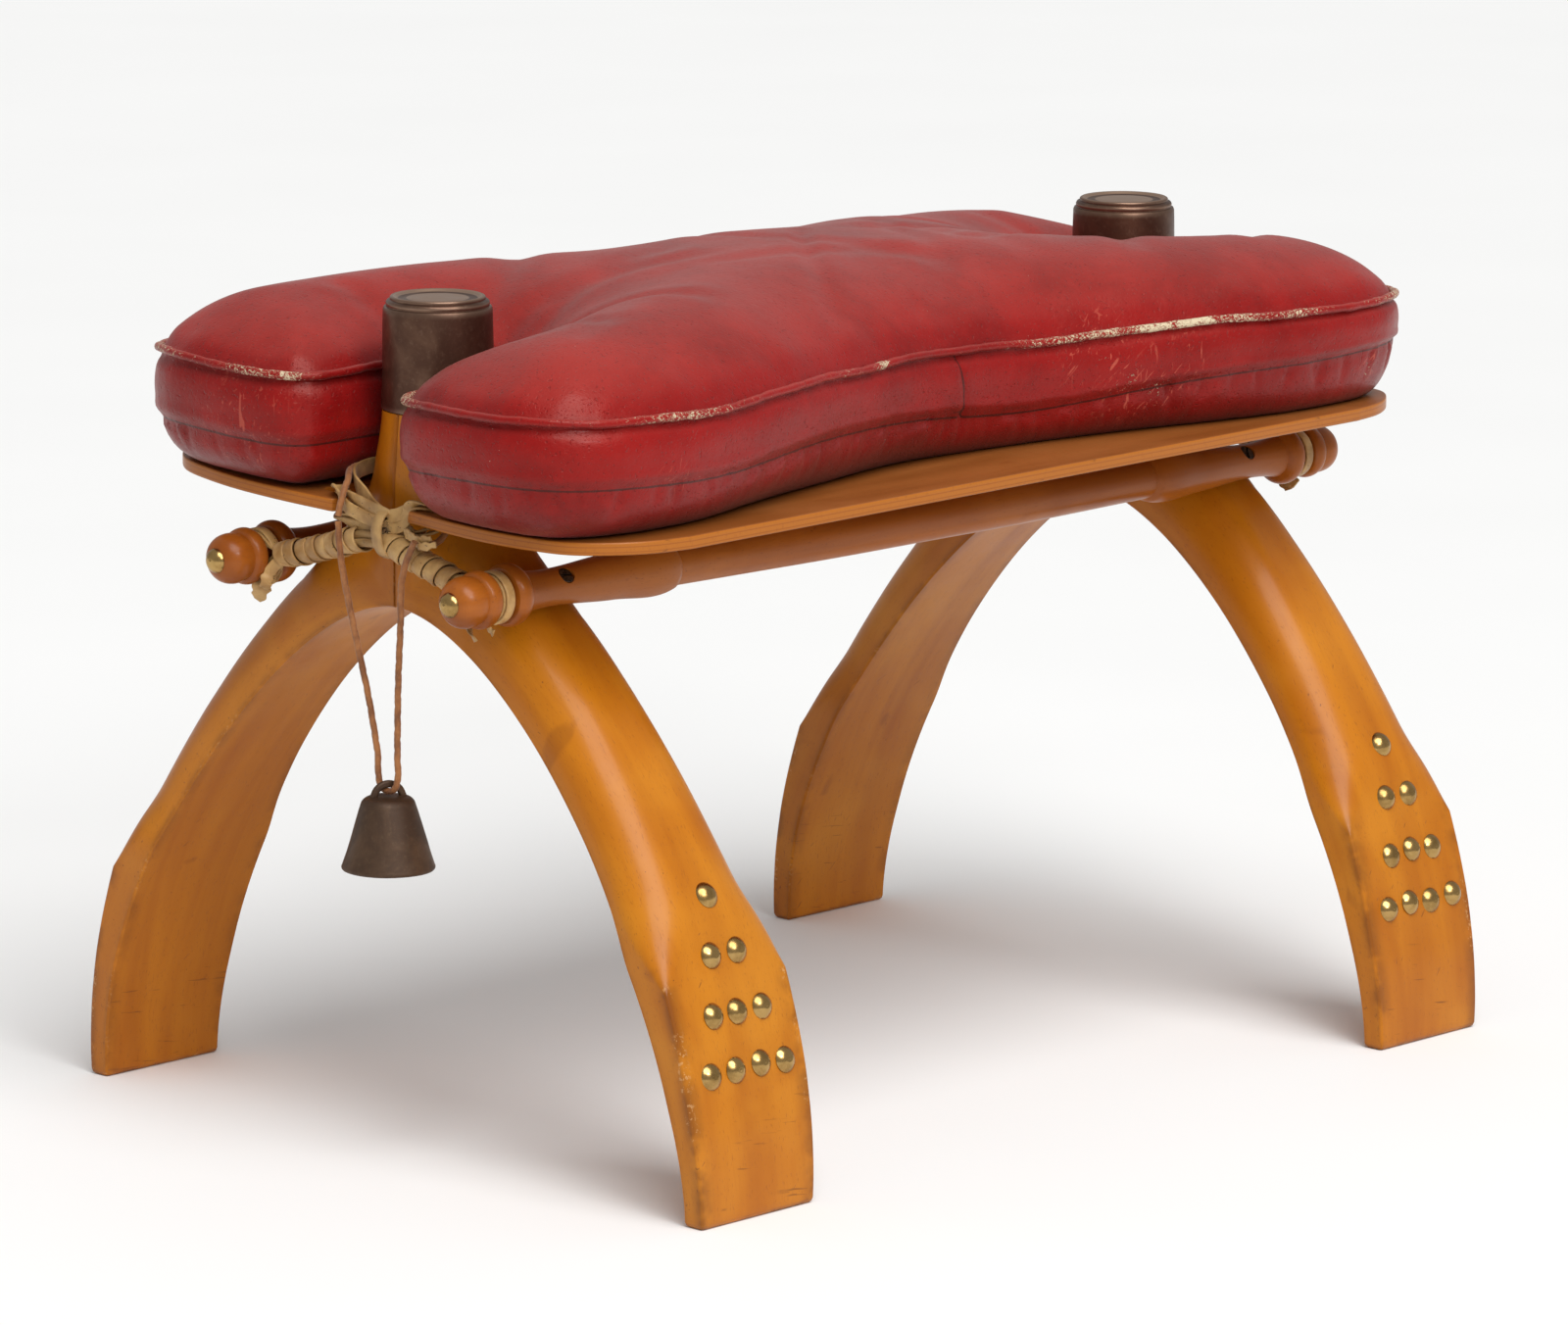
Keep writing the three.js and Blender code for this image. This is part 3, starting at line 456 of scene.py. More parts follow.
def wood_graph(name, tones, vector, along, gloss, marks=1.0, edge=None):
    """Close-grained wood under old varnish. along is the axis of the grain in vector, 0 to 2."""
    g = Graph(name, Coat_Weight=0.12, Coat_Roughness=0.16, Specular_IOR_Level=0.2)
    place = vector(g)
    squeeze = [1.0, 1.0, 1.0]
    squeeze[along] = 0.1
    grain = g.stretch(place, *squeeze)
    dark, middle, light = tones
    bands = g.noise(grain, 42, 3, 0.5, 0.4)
    colour = g.blend(g.step(bands, 0.3, 0.7), dark, middle)
    cloud = g.noise(place, 9, 3, 0.6, 0.3)
    colour = g.tint(colour, g.step(cloud, 0.42, 0.75), 0.6, light)
    colour = g.tint(colour, g.patches((grain, 640, 2, 0.6), 0.5, 0.75), 0.2, dark)
    short = g.stretch(place, *[0.22 if i == along else 1 for i in range(3)])
    flecks = g.patches((short, 1500, 1), 0.64, 0.72)
    colour = g.tint(colour, flecks, 0.28, srgb(104, 50, 10))
    colour = g.tint(colour, g.patches((place, 34, 2, 0.5, 0.5), 0.69, 0.78), 0.3 * marks, srgb(110, 52, 12))
    slant = g.turned(place, (0.3, 0.5, 0.8), 0.9)
    lines = g.patches((g.stretch(slant, 1, 0.05, 1), 620, 1), 0.745, 0.765)
    where = g.patches((place, 19, 1), 0.5, 0.6)
    scratches = g.times(lines, where)
    colour = g.tint(colour, scratches, 0.6 * marks, srgb(84, 42, 12))
    if edge is not None:
        across = g.turned(place, (0, 0, 1), 0.12)
        cuts = g.patches((g.stretch(across, 0.07, 1, 1), 560, 2, 0.5, 0.3), 0.66, 0.7)
        height = g.put("SeparateXYZ", 2, {"Vector": g.place()})
        low = g.times(g.step(height, 0.075, 0.03), g.patches((place, 40, 2), 0.44, 0.56))
        cuts = g.times(cuts, low)
        colour = g.tint(colour, cuts, 0.6, srgb(96, 52, 18))
    specks = g.step(g.cells(place, 190), 0.07, 0.045)
    rare = g.patches((place, 60, 1), 0.63, 0.68)
    dots = g.times(specks, rare)
    colour = g.tint(colour, dots, 0.8 * marks, srgb(56, 28, 10))
    if edge is not None:
        rim = g.painted(edge)
        grime = g.times(rim, g.patches((place, 45, 3, 0.6), 0.36, 0.6))
        colour = g.tint(colour, grime, 0.62, srgb(92, 44, 12))
        broken = g.patches((place, 460, 3, 0.7), 0.55, 0.6)
        rarely = g.patches((place, 30, 2), 0.52, 0.6)
        chips = g.times(g.times(g.step(rim, 0.45, 0.8), broken), rarely)
        colour = g.tint(colour, chips, 0.5, srgb(206, 160, 108))
    roughness = g.plus(g.times(g.noise(place, 70, 4, 0.6), 0.2), gloss)
    rise = g.minus(g.times(bands, 0.4), g.times(scratches, 1.2 * marks))
    rise = g.minus(rise, g.times(flecks, 0.4))
    rise = g.plus(rise, g.times(g.noise(place, 28, 2), 2.0))
    g.finish(colour, roughness, g.bump(rise, 0.14, 0.5))
    return g


def beech():
    tones = (srgb(166, 92, 8), srgb(187, 112, 16), srgb(202, 132, 36))
    return wood_graph("beech", tones, lambda g: g.painted("grain", "Vector"), 1, 0.27, edge="edge").material


def beech_rod():
    tones = (srgb(132, 66, 14), srgb(164, 90, 26), srgb(184, 110, 42))
    return wood_graph("beech_rod", tones, Graph.place, 0, 0.24, 0.8).material


def dowel_wood():
    tones = (srgb(176, 120, 66), srgb(198, 146, 92), srgb(214, 168, 116))
    return wood_graph("dowel_wood", tones, Graph.place, 1, 0.5, 0.3).material


def plywood():
    """Veneer on the faces and the plies' end grain round the edge; ply is 0 below and 1 on top."""
    tones = (srgb(128, 72, 28), srgb(150, 88, 40), srgb(164, 102, 54))
    g = wood_graph("plywood", tones, Graph.place, 0, 0.3, 1.2)
    face = g.shader.inputs["Base Color"].links[0].from_socket
    ply, side = g.painted("ply"), g.painted("side")
    place = g.place()
    wavy = g.plus(ply, g.times(g.noise(place, 16, 2), 0.06))
    wave = g.calc("SINE", g.times(wavy, 2.6 * 2 * math.pi))
    layers = g.blend(g.step(wave, -0.98, -0.6), srgb(150, 82, 22), srgb(168, 98, 28))
    ends = g.patches((g.stretch(place, 1, 1, 0.4), 700, 2, 0.6), 0.56, 0.7)
    layers = g.tint(layers, ends, 0.25, srgb(128, 66, 22))
    dirt = g.patches((g.stretch(place, 1, 1, 3), 75, 3, 0.6), 0.64, 0.74)
    layers = g.tint(layers, dirt, 0.6, srgb(84, 46, 24))
    g.feed(g.shader.inputs["Base Color"], g.blend(side, face, layers))
    return g.material


def metal_material(name, tones, rough, cloud_scale, grain_mm, speckle, metallic, rub_and_reflection=None):
    """Old metal: a patina in clouds and specks, brighter where the mask named by the last argument is
    painted: rubbed wear, and on the caps' top disc a painted reflection.
    """
    g = Graph(name, Metallic=metallic)
    base, dark, bright = tones
    place = g.place()
    clouds = g.noise(place, cloud_scale, 5, 0.62, 0.4)
    colour = g.blend(g.step(clouds, 0.38, 0.66), dark, base)
    fine = g.noise(place, cloud_scale * 9, 4, 0.7)
    colour = g.tint(colour, g.step(fine, 0.5, 0.75), speckle, bright)
    specks = g.step(g.cells(g.stretch(place, 1, 1, 0.6), cloud_scale * 14), 0.16, 0.08)
    colour = g.tint(colour, specks, speckle, dark)
    if rub_and_reflection is not None:
        colour = g.blend(g.painted(rub_and_reflection), colour, bright)
    roughness = g.plus(g.times(g.step(clouds, 0.35, 0.7), -0.12), rough)
    roughness = g.plus(roughness, g.times(fine, 0.16))
    rise = g.plus(fine, g.times(clouds, 2.0))
    return g.finish(colour, roughness, g.bump(rise, grain_mm, 0.5))


def cap_brass():
    tones = (srgb(104, 76, 60), srgb(82, 56, 44), srgb(178, 148, 126))
    return metal_material("cap_brass", tones, 0.36, 40, 0.03, 0.12, 0.85, "rub_and_reflection")


def antique_brass():
    tones = (srgb(182, 148, 92), srgb(152, 120, 70), srgb(206, 174, 120))
    return metal_material("antique_brass", tones, 0.22, 90, 0.004, 0.2, 1.0)


def screw_steel():
    tones = (srgb(92, 84, 74), srgb(40, 34, 28), srgb(150, 138, 118))
    return metal_material("screw_steel", tones, 0.42, 420, 0.04, 0.5, 0.9)


def bell_bronze():
    tones = (srgb(88, 64, 44), srgb(66, 46, 31), srgb(106, 84, 62))
    return metal_material("bell_bronze", tones, 0.5, 40, 0.06, 0.35, 0.45)


def rawhide():
    g = Graph("rawhide", Sheen_Weight=0.08)
    place = g.place()
    cloud = g.noise(place, 60, 4, 0.6, 0.3)
    colour = g.blend(g.step(cloud, 0.35, 0.66), srgb(150, 108, 54), srgb(198, 158, 98))
    dirt = g.patches((place, 28, 3, 0.6), 0.54, 0.7)
    colour = g.tint(colour, dirt, 0.55, srgb(96, 66, 34))
    specks = g.step(g.cells(place, 420), 0.2, 0.12)
    rare = g.patches((place, 130, 1), 0.5, 0.6)
    colour = g.tint(colour, g.times(specks, rare), 0.85, srgb(74, 48, 26))
    pores = g.noise(place, 900, 3, 0.7)
    colour = g.tint(colour, g.step(pores, 0.55, 0.72), 0.3, srgb(140, 100, 58))
    rise = g.plus(g.times(pores, 0.5), g.noise(place, 150, 3, 0.6))
    return g.finish(colour, g.plus(g.times(cloud, 0.25), 0.36), g.bump(rise, 0.25, 0.7))


def cord_leather():
    g = Graph("cord_leather", Sheen_Weight=0.15)
    place = g.place()
    cloud = g.noise(place, 120, 4, 0.6)
    colour = g.blend(g.step(cloud, 0.34, 0.66), srgb(116, 66, 26), srgb(158, 100, 50))
    fibre = g.noise(g.stretch(place, 1, 1, 0.3), 1500, 3, 0.7)
    colour = g.tint(colour, g.step(fibre, 0.5, 0.7), 0.4, srgb(172, 118, 72))
    return g.finish(colour, g.plus(g.times(cloud, 0.2), 0.55), g.bump(fibre, 0.2, 0.7))


def leather(name, piping):
    """Red grained leather. worn is painted where the finish has cracked off, seam where two panels meet."""
    g = Graph(
        name, Coat_Weight=0.06, Coat_Roughness=0.14, Specular_IOR_Level=0.34, Sheen_Weight=0.09,
        Sheen_Roughness=0.45, Sheen_Tint=(1.0, 0.76, 0.68, 1.0), Specular_Tint=(1.0, 0.6, 0.5, 1.0),
    )
    place = g.place()
    cloud = g.noise(place, 14, 4, 0.6, 0.2)
    colour = g.blend(g.step(cloud, 0.34, 0.68), srgb(118, 4, 6), srgb(140, 8, 9))
    mottle = g.noise(place, 130, 4, 0.65)
    colour = g.tint(colour, g.step(mottle, 0.45, 0.7), 0.3, srgb(148, 16, 15))
    # Faces turned up blend towards pale pink: a painted sheen, the pale glancing reflection on the
    # cushion's top.
    upward = g.put("SeparateXYZ", 2, {"Vector": g.put("NewGeometry", 1, {})})
    painted_sheen_share = g.plus(g.times(cloud, 0.2), 0.05)
    colour = g.tint(colour, g.step(upward, 0.45, 1.0), painted_sheen_share, srgb(206, 104, 92))
    # Faces turned down are darkened towards deep red: painted shade on the underside.
    colour = g.tint(colour, g.step(upward, -0.25, -0.9), 0.5, srgb(66, 1, 3))
    pits = g.step(g.cells(place, 900, "SMOOTH_F1"), 0.55, 0.8)
    colour = g.tint(colour, pits, 0.3, srgb(84, 3, 5))
    worn = g.painted("worn")
    cracks = g.minus(g.noise(place, 620, 4, 0.75, 1.0), 0.5)
    if piping:
        ragged = g.plus(worn, g.times(cracks, 3.2))
        bare = g.step(ragged, 0.66, 0.72)
        rim = g.minus(g.step(ragged, 0.48, 0.6), bare, True)
    else:
        slant = g.turned(place, (0.1, 1, 0.2), 0.8)
        upright_lines = g.patches((g.stretch(place, 1, 1, 0.09), 420, 2, 0.6, 0.8), 0.63, 0.68)
        slanting_lines = g.patches((g.stretch(slant, 0.09, 1, 1), 520, 2, 0.6, 0.8), 0.64, 0.69)
        ragged = g.plus(worn, g.times(cracks, 1.6))
        bare = g.times(g.step(ragged, 1.02, 1.1), 0.95)
        rim = g.times(g.calc("MAXIMUM", upright_lines, slanting_lines), g.step(worn, 0.15, 0.7))
    colour = g.tint(colour, rim, 0.5, srgb(196, 96, 76))
    colour = g.blend(bare, colour, srgb(206, 190, 158))
    if not piping:
        # A dark line along the seams: painted shade in the seam grooves, not a thread colour.
        from_seam = g.calc("ABSOLUTE", g.painted("seam"))
        seam_groove_shade = g.step(g.plus(from_seam, g.times(mottle, 0.5)), 1.15, 0.6)
        colour = g.tint(colour, seam_groove_shade, 0.85, srgb(52, 8, 8))
    chips = g.times(g.step(g.cells(place, 210), 0.05, 0.03), g.patches((place, 40, 1), 0.66, 0.7))
    colour = g.tint(colour, chips, 0.8, srgb(214, 190, 168))
    roughness = g.plus(g.times(mottle, 0.18), 0.28 if piping else 0.31)
    roughness = g.plus(roughness, g.times(bare, 0.4))
    lines = g.noise(g.stretch(place, 1, 0.35, 1), 800, 2, 0.5, 1.2)
    rise = g.minus(g.times(lines, 0.5), g.times(pits, 0.8))
    rise = g.minus(rise, g.times(bare, 1.4))
    rise = g.plus(rise, g.times(g.noise(place, 230, 3, 0.6), 0.8))
    return g.finish(colour, roughness, g.bump(rise, 0.38, 0.8))


def floor_paint():
    g = Graph("floor_paint")
    shade = g.noise(g.place(), 3, 2)
    return g.finish(g.blend(shade, srgb(240, 240, 239), srgb(244, 244, 243)), 0.75)


# ---- arches

ARCH_X = 250
APEX_Z = 269
POST_TOP_Z = 363.5
POST_TOP_R = 26.8
NECK_R = 24.3
NECK_TOP_Z = 411
KNEE_Z = 112
FOOT_EDGE_R = 1.5
SHOULDER_T = 0.236
APEX_SHARE = 0.42
INNER_EASE = 1
GLUE_GAP = 0.15
LEG_RUNS = [(0.992, 0.74, 34), (0.735, 0.6, 34), (0.595, SHOULDER_T, 36)]
FOOT_EASE = [(0, 2.2), (0.35, 1.2), (1.1, 0.4)]
INNER_LINE = [(0, APEX_Z), (76.4, APEX_Z), (207, 110), (205.5, 0)]
SHOULDER_LINE = [(80, 273.6), (50, 302.3), (27, 330), (POST_TOP_R, POST_TOP_Z)]
LEG_THICKNESS = [
    (0.236, 34.3), (0.33, 31), (0.44, 28.3), (0.55, 26.6), (0.64, 25.4),
    (0.7, 20.8), (0.76, 18.2), (0.85, 14.6), (0.93, 13.1), (1, 12.5),
]
ARCH_HALF_WIDTH = [
    (0, 38), (58, 41), (128, 41), (151, 36.5), (176, 34), (225, 31), (261, 29.8),
    (337, 29.8), (362, POST_TOP_R),
]


def read_smooth(pairs, place, spread):
    """Reads a table of pairs, with its corners eased over a spread to both sides."""
    xs, ys = zip(*pairs)
    return sum(np.interp(place + k * spread, xs, ys) for k in (-1, -0.5, 0, 0.5, 1)) / 5


def bezier(points, t):
    p = np.array(points, float)
    s = 1 - t
    place = s**3 * p[0] + 3 * s * s * t * p[1] + 3 * s * t * t * p[2] + t**3 * p[3]
    along = s * s * (p[1] - p[0]) + 2 * s * t * (p[2] - p[1]) + t * t * (p[3] - p[2])
    return place, along / np.linalg.norm(along)


def leg_outer(t):
    inner, along = bezier(INNER_LINE, t)
    thickness = read_smooth(LEG_THICKNESS, t, 0.012)
    return inner, inner + thickness * np.array([-along[1], along[0]])


def leg_section(t):
    inner, outer = leg_outer(t)
    thickness = np.linalg.norm(outer - inner)
    half = read_smooth(ARCH_HALF_WIDTH, (inner[1] + outer[1]) / 2, 6)
    bend = math.sqrt(smooth((outer[1] - KNEE_Z) / 48))
    return inner, outer, half, mix(FOOT_EDGE_R, 0.72 * half, bend), mix(FOOT_EDGE_R, 0.8 * thickness, bend)


def post_section(v):
    outer, _ = bezier(SHOULDER_LINE, v)
    if v < APEX_SHARE:
        inner, _ = bezier(INNER_LINE, SHOULDER_T * (1 - v / APEX_SHARE))
    else:
        share = smooth((v - APEX_SHARE) / (1 - APEX_SHARE))
        inner = np.array([0, mix(APEX_Z, POST_TOP_Z, share)])
    thickness = np.linalg.norm(outer - inner)
    half = read_smooth(ARCH_HALF_WIDTH, (inner[1] + outer[1]) / 2, 3)
    share = smooth(v)
    return inner, outer, half, mix(0.72, 1, share) * half, mix(0.8, 1, share) * thickness


def round_section(radius, z):
    return np.array([0, z]), np.array([radius, z]), radius, radius, radius


CORNER_STEPS = 12
FLAT_STEPS = 8


def section_outline(section):
    """Section points as (x, distance out from the inner face), and how near each is to a sharp edge."""
    inner, outer, half, round_x, round_n = section
    thickness = np.linalg.norm(outer - inner)
    round_n = min(round_n, thickness - 1.5 * INNER_EASE)
    corner = []
    for i in range(CORNER_STEPS + 1):
        a = math.pi / 2 * i / CORNER_STEPS
        corner.append((-half + round_x * (1 - math.cos(a)), thickness - round_n * (1 - math.sin(a))))
    left = [(-half + INNER_EASE, 0), (-half, INNER_EASE)]
    rise = np.linspace(0, 1, FLAT_STEPS + 2)[1:-1]
    left += [(-half, mix(INNER_EASE, corner[0][1], r)) for r in rise]
    left += corner
    across = [(x, thickness) for x in np.linspace(corner[-1][0], -corner[-1][0], FLAT_STEPS + 2)[1:-1]]
    right = [(-x, n) for x, n in reversed(left)]
    under = [(x, 0) for x in np.linspace(half - INNER_EASE, -half + INNER_EASE, FLAT_STEPS + 2)[1:-1]]
    points = np.array(left + across + right + under)
    middle = np.array(corner[CORNER_STEPS // 2])
    away = np.hypot(np.abs(points[:, 0]) + middle[0], points[:, 1] - middle[1])
    foot = np.hypot(np.abs(points[:, 0]) - half, points[:, 1])
    sharp = 1 - clamp01((round_n - FOOT_EDGE_R) / 6)
    return points, np.maximum(sharp * bell_curve(away / 4), 0.7 * bell_curve(foot / 2.5))


def arch_half():
    """Rings of one half arch, its grain coordinates and its edges."""
    sections = [leg_section(t) for run in LEG_RUNS for t in np.linspace(*run)]
    sections += [post_section(v) for v in np.linspace(0.02, 1, 60)]
    sections += [round_section(NECK_R, POST_TOP_Z), round_section(NECK_R, NECK_TOP_Z)]
    rings, grain, edges = [], [], []
    reach, last = 0.0, None

    def lay(section, z=None, inset=0.0):
        nonlocal reach, last
        inner, outer, half, round_x, round_n = section
        outward = unit(outer - inner)
        inner, outer = inner + outward * inset, outer - outward * inset
        points, edge = section_outline((inner, outer, half - inset, round_x, round_n))
        y = np.maximum(inner[0] + points[:, 1] * outward[0], GLUE_GAP)
        height = inner[1] + points[:, 1] * outward[1] if z is None else np.full(len(points), z)
        middle = (inner + outer) / 2
        reach += 0 if last is None else np.linalg.norm(middle - last)
        last = middle
        rings.append(np.stack([points[:, 0], y, height], axis=1))
        grain.append(np.stack([points[:, 0], np.full(len(points), reach), points[:, 1]], axis=1))
        edges.append(np.maximum(edge, 0.8 if z is not None else 0))

    floor = leg_section(1)
    for z, inset in FOOT_EASE:
        lay(floor, z, inset)
    for section in sections:
        lay(section)
    return np.array(rings), np.array(grain), np.array(edges)


def make_arches(material):
    rings, grain, edges = arch_half()
    for name, x, y in corners():
        shell = moved(flipped(tube(rings), 1, y), x * ARCH_X)
        obj = make_piece(f"arch_{name}", "shaped", shell, material, 35)
        other_log = np.array([13 * x, 90 * y + 400 * x, 31 * y * x])
        paint(obj, "grain", (grain.reshape(-1, 3) + other_log) * MM)
        paint(obj, "edge", edges.ravel())


# ---- rods, screws, domes

ROD_Y = 82.2
ROD_Z = 286.9
ROD_TIP_X = 321.5
ROD_RUNS = [
    ([(ROD_TIP_X, 0), (ROD_TIP_X, 6.4), (319.6, 9.4), (316.4, 11.6), (311.6, 12.6), (306.6, 12)], 26),
    ([(305.6, 13.3), (304.2, 13.9), (300.4, 13.9), (298.6, 12.8), (297.6, 9)], 18),
    ([(296.6, 8), (290, 8), (289, 9)], 6),
    ([(288, 13.6), (286, 15), (281, 15), (278.8, 13.6)], 14),
    ([(277.4, 11), (274, 10.4), (215, 11.4), (178.5, 12.3), (176.4, 11.8)], 40),
    ([(175.2, 10.6), (174.4, 9.9)], 3),
    ([(172, 10.0), (120, 10.6), (60, 11.1), (0, 11.2)], 16),
]
SCREW_HEAD_TOP = 8.6
SCREW_HEAD_R = 4
COUNTERBORE_R = 4.5
COUNTERBORE_DEPTH = 2.4
SLOT_HALF = 0.55
SLOT_DEPTH = 1.0


def rod_profile():
    half = np.vstack([spline(run, count) for run, count in ROD_RUNS])[:, ::-1]
    return np.vstack([half, (half * np.array([1, -1]))[::-1][1:]])


def screw_place(x, y, height):
    """A point on a screw's axis, a height over the rod's axis, and the way the screw's head faces."""
    out = np.array([0, y, 1]) / math.sqrt(2)
    return np.array([x * ARCH_X, y * ROD_Y, ROD_Z]) + out * height, out


def cut_away(obj, cutter):
    hole = obj.modifiers.new("hole", "BOOLEAN")
    hole.operation = "DIFFERENCE"
    hole.solver = "EXACT"
    hole.object = cutter
    applied(obj)
    bpy.data.objects.remove(cutter)


def rod_wobble(turn, x):
    return 0.06 * np.sin(2 * turn + x / 40) + 0.05 * np.sin(3 * turn - x / 23)


def make_rods(material):
    drill = lathe([(0, 0), (COUNTERBORE_R, 0), (COUNTERBORE_R, 9), (0, 9)], 32)
    for side, y in SIDES.items():
        shell = aimed(lathe(rod_profile(), 72, rod_wobble), (1, 0, 0), (0, y * ROD_Y, ROD_Z))
        obj = new_object(f"side_rod_{side}_turned", shell)
        holes = []
        for x in ENDS.values():
            base, out = screw_place(x, y, SCREW_HEAD_TOP - COUNTERBORE_DEPTH)
            holes.append(aimed(drill, out, base))
        cut_away(obj, new_object("counterbores", merged(holes)))
        dress(obj, "frame", material, [f"side_rod_{side}"], 32)


def slotted_head(radius):
    """A countersunk screw's head with its slot, the top at 0."""
    profile = [(0, -2.2), (2, -2.2), (radius - 0.3, -0.5), (radius, -0.25), (radius - 0.25, 0), (0, 0.15)]
    obj = new_object("head", lathe(profile, 40))
    around = ((-9, -SLOT_HALF), (9, -SLOT_HALF), (9, SLOT_HALF), (-9, SLOT_HALF))
    slot = [(x, y, z) for z in (-SLOT_DEPTH, 2) for x, y in around]
    box = [(0, 1, 2, 3), (4, 5, 6, 7), (0, 1, 5, 4), (1, 2, 6, 5), (2, 3, 7, 6), (3, 0, 4, 7)]
    cut_away(obj, new_object("slot", (np.array(slot, float), box)))
    points = read_points(obj.data)
    faces = [tuple(p.vertices) for p in obj.data.polygons]
    bpy.data.objects.remove(obj)
    return points, faces


def make_screws(material):
    points, faces = slotted_head(SCREW_HEAD_R)
    shank = lathe([(0, -42), (0.6, -41), (1.9, -36), (1.9, -2), (0, -2)], 20)
    for name, x, y in corners():
        top, out = screw_place(x, y, SCREW_HEAD_TOP)
        slot_angle = 0.5 + 0.65 * (x + 1) + 0.7 * y
        c, s = math.cos(slot_angle), math.sin(slot_angle)
        spin = np.array([[c, -s, 0], [s, c, 0], [0, 0, 1]])
        shell = merged([(points @ spin.T, faces), shank])
        make_piece(f"rod_screw_{name}", "slotted", aimed(shell, out, top), material, 30)


def make_finial_domes(material):
    profile = spline([(0, 4.3), (0.7, 4.1), (2.4, 3.8), (4.5, 2.7), (5.7, 1.3), (6.2, 0.1)], 18)
    dome = lathe(np.vstack([profile, [(6.1, -0.2), (0, -0.2)]]), 40)
    for name, x, y in corners():
        shell = aimed(dome, (x, 0, 0), (x * ROD_TIP_X, y * ROD_Y, ROD_Z))
        make_piece(f"finial_dome_{name}", "spun", shell, material, 40)


# ---- caps

CAP_TOP_Z = 419
CAP_OUTER = [
    (0, -0.9), (12, -0.95), (20.2, -0.9), (21.3, -0.2), (22.3, 0), (23.2, -0.6), (23.3, -1.8),
    (24.4, -2.1), (25.1, -2.9), (25.3, -3.8), (25, -4.6), (25, -4.9), (26.1, -5.3), (26.6, -6.4),
    (26.75, -12), (27.0, -25), (27.2, -38), (27.35, -48), (27.5, -54.4), (27.3, -55),
]
CAP_INNER = [(26.3, -55), (25.4, -7), (24, -6), (0, -2.4)]


def cap_rub_and_reflection(points):
    """Where the cap is painted bright: its beads and its lower edge, rubbed bright by wear, and the disc on
    top, made lighter as a painted reflection.
    """
    radius = np.hypot(points[:, 0], points[:, 1])
    low = points[:, 2] - CAP_TOP_Z
    rims = bell_curve((radius - 22.4) / 0.9) * (low > -1.2) + 0.7 * bell_curve((low + 3.6) / 0.8)
    rims += 0.5 * bell_curve((low + 54.6) / 0.7) + 0.6 * bell_curve((low + 5.8) / 0.6)
    # The last term lightens the disc on top: a painted reflection.
    return clamp01(rims * (radius > 20)) * 0.6 + 0.75 * (low > -1.3) * (radius < 21.5)


def make_caps(material):
    beads = spline(CAP_OUTER[:13], 60)
    wall = spline(CAP_OUTER[13:19], 24)
    profile = np.vstack([beads, wall, CAP_OUTER[19:], CAP_INNER]) + np.array([0, CAP_TOP_Z])
    for number, (end, x) in enumerate(ENDS.items()):
        def dents(turn, z, n=number):
            waves = 0.10 * np.sin(3 * turn + n + z / 11) + 0.07 * np.sin(7 * turn + z / 6 + 2 * n)
            return np.where(z > CAP_TOP_Z - 6, 0.25, 1.0) * waves
        shell = lathe(profile, 112, dents)
        obj = make_piece(f"pommel_cap_{end}", "spun", moved(shell, x * ARCH_X), material, 45)
        paint(obj, "rub_and_reflection", cap_rub_and_reflection(shell[0]))


# ---- nails

STUD_PITCH_X = 16.6
STUD_ROWS_Z = [150, 123.4, 97, 71.3]
STUD_STRAY = 0.9
ROW_LIFT = (1.2, 1.4, 0, 0)
ROW_SHIFT = (1, 1.8, 2.6, 2.4)
ROW_CLIMB = (0, -0.6, 0.2, -0.2)


def stud_seat(z, lift):
    low, high = 0.5, 1.0
    for _ in range(30):
        t = (low + high) / 2
        low, high = (t, high) if leg_outer(t)[1][1] > z else (low, t)
    here = leg_outer(t)[1]
    along = unit(leg_outer(t + 0.01)[1] - leg_outer(t - 0.01)[1])
    outward = np.array([-along[1], along[0]])
    return here + outward * lift, outward


def make_nails(material):
    draw = random.Random(7)
    dome = [(0, 3.5), (0.7, 3.42), (1.8, 3.4), (3.6, 2.75), (5.1, 1.7), (6.1, 0.7), (6.5, 0.1)]
    profile = np.vstack([spline(dome, 18), [(6.45, -0.15), (5.9, -0.4), (0, -0.4)]])
    for name, x, y in corners():
        shells = []
        for row, z in enumerate(STUD_ROWS_Z):
            for i in range(row + 1):
                shift = draw.uniform(-STUD_STRAY, STUD_STRAY)
                height = z + ROW_LIFT[row] + ROW_CLIMB[row] * (i - row / 2)
                height += draw.uniform(-STUD_STRAY, STUD_STRAY)
                place, outward = stud_seat(height, 0.1)
                tilt = (draw.uniform(-0.05, 0.05), outward[0], outward[1] + draw.uniform(-0.05, 0.05))
                head = lathe(profile * np.array([1, 1 + draw.uniform(-0.12, 0.12)]), 30)
                px = (i - row / 2) * STUD_PITCH_X + ROW_SHIFT[row] + shift
                shells.append(aimed(head, unit(tilt), (px, *place)))
        shell = moved(flipped(merged(shells), 1, y), x * ARCH_X)
        make_piece(f"nails_{name}", "domed", shell, material, 40)


# ---- seat boards

BOARD_T = 6.5
BOARD_INNER_Y = 23
NOTCH_X = (213, 286.4)
NOTCH_Y = 44.6
BOARDS = {
    "right": dict(side=-1, outer=160, near=299, far=316, heights=(315.3, 312.4, 316, 318)),
    "left": dict(side=1, outer=164, near=304, far=305, heights=(315.5, 324.5, 316, 319)),
}


def board_underside(board, x, y):
    along = (x + board["near"]) / (board["near"] + board["far"])
    across = (np.abs(y) - BOARD_INNER_Y) / (board["outer"] - BOARD_INNER_Y)
    near_in, near_out, far_in, far_out = board["heights"]
    return mix(mix(near_in, near_out, across), mix(far_in, far_out, across), along)


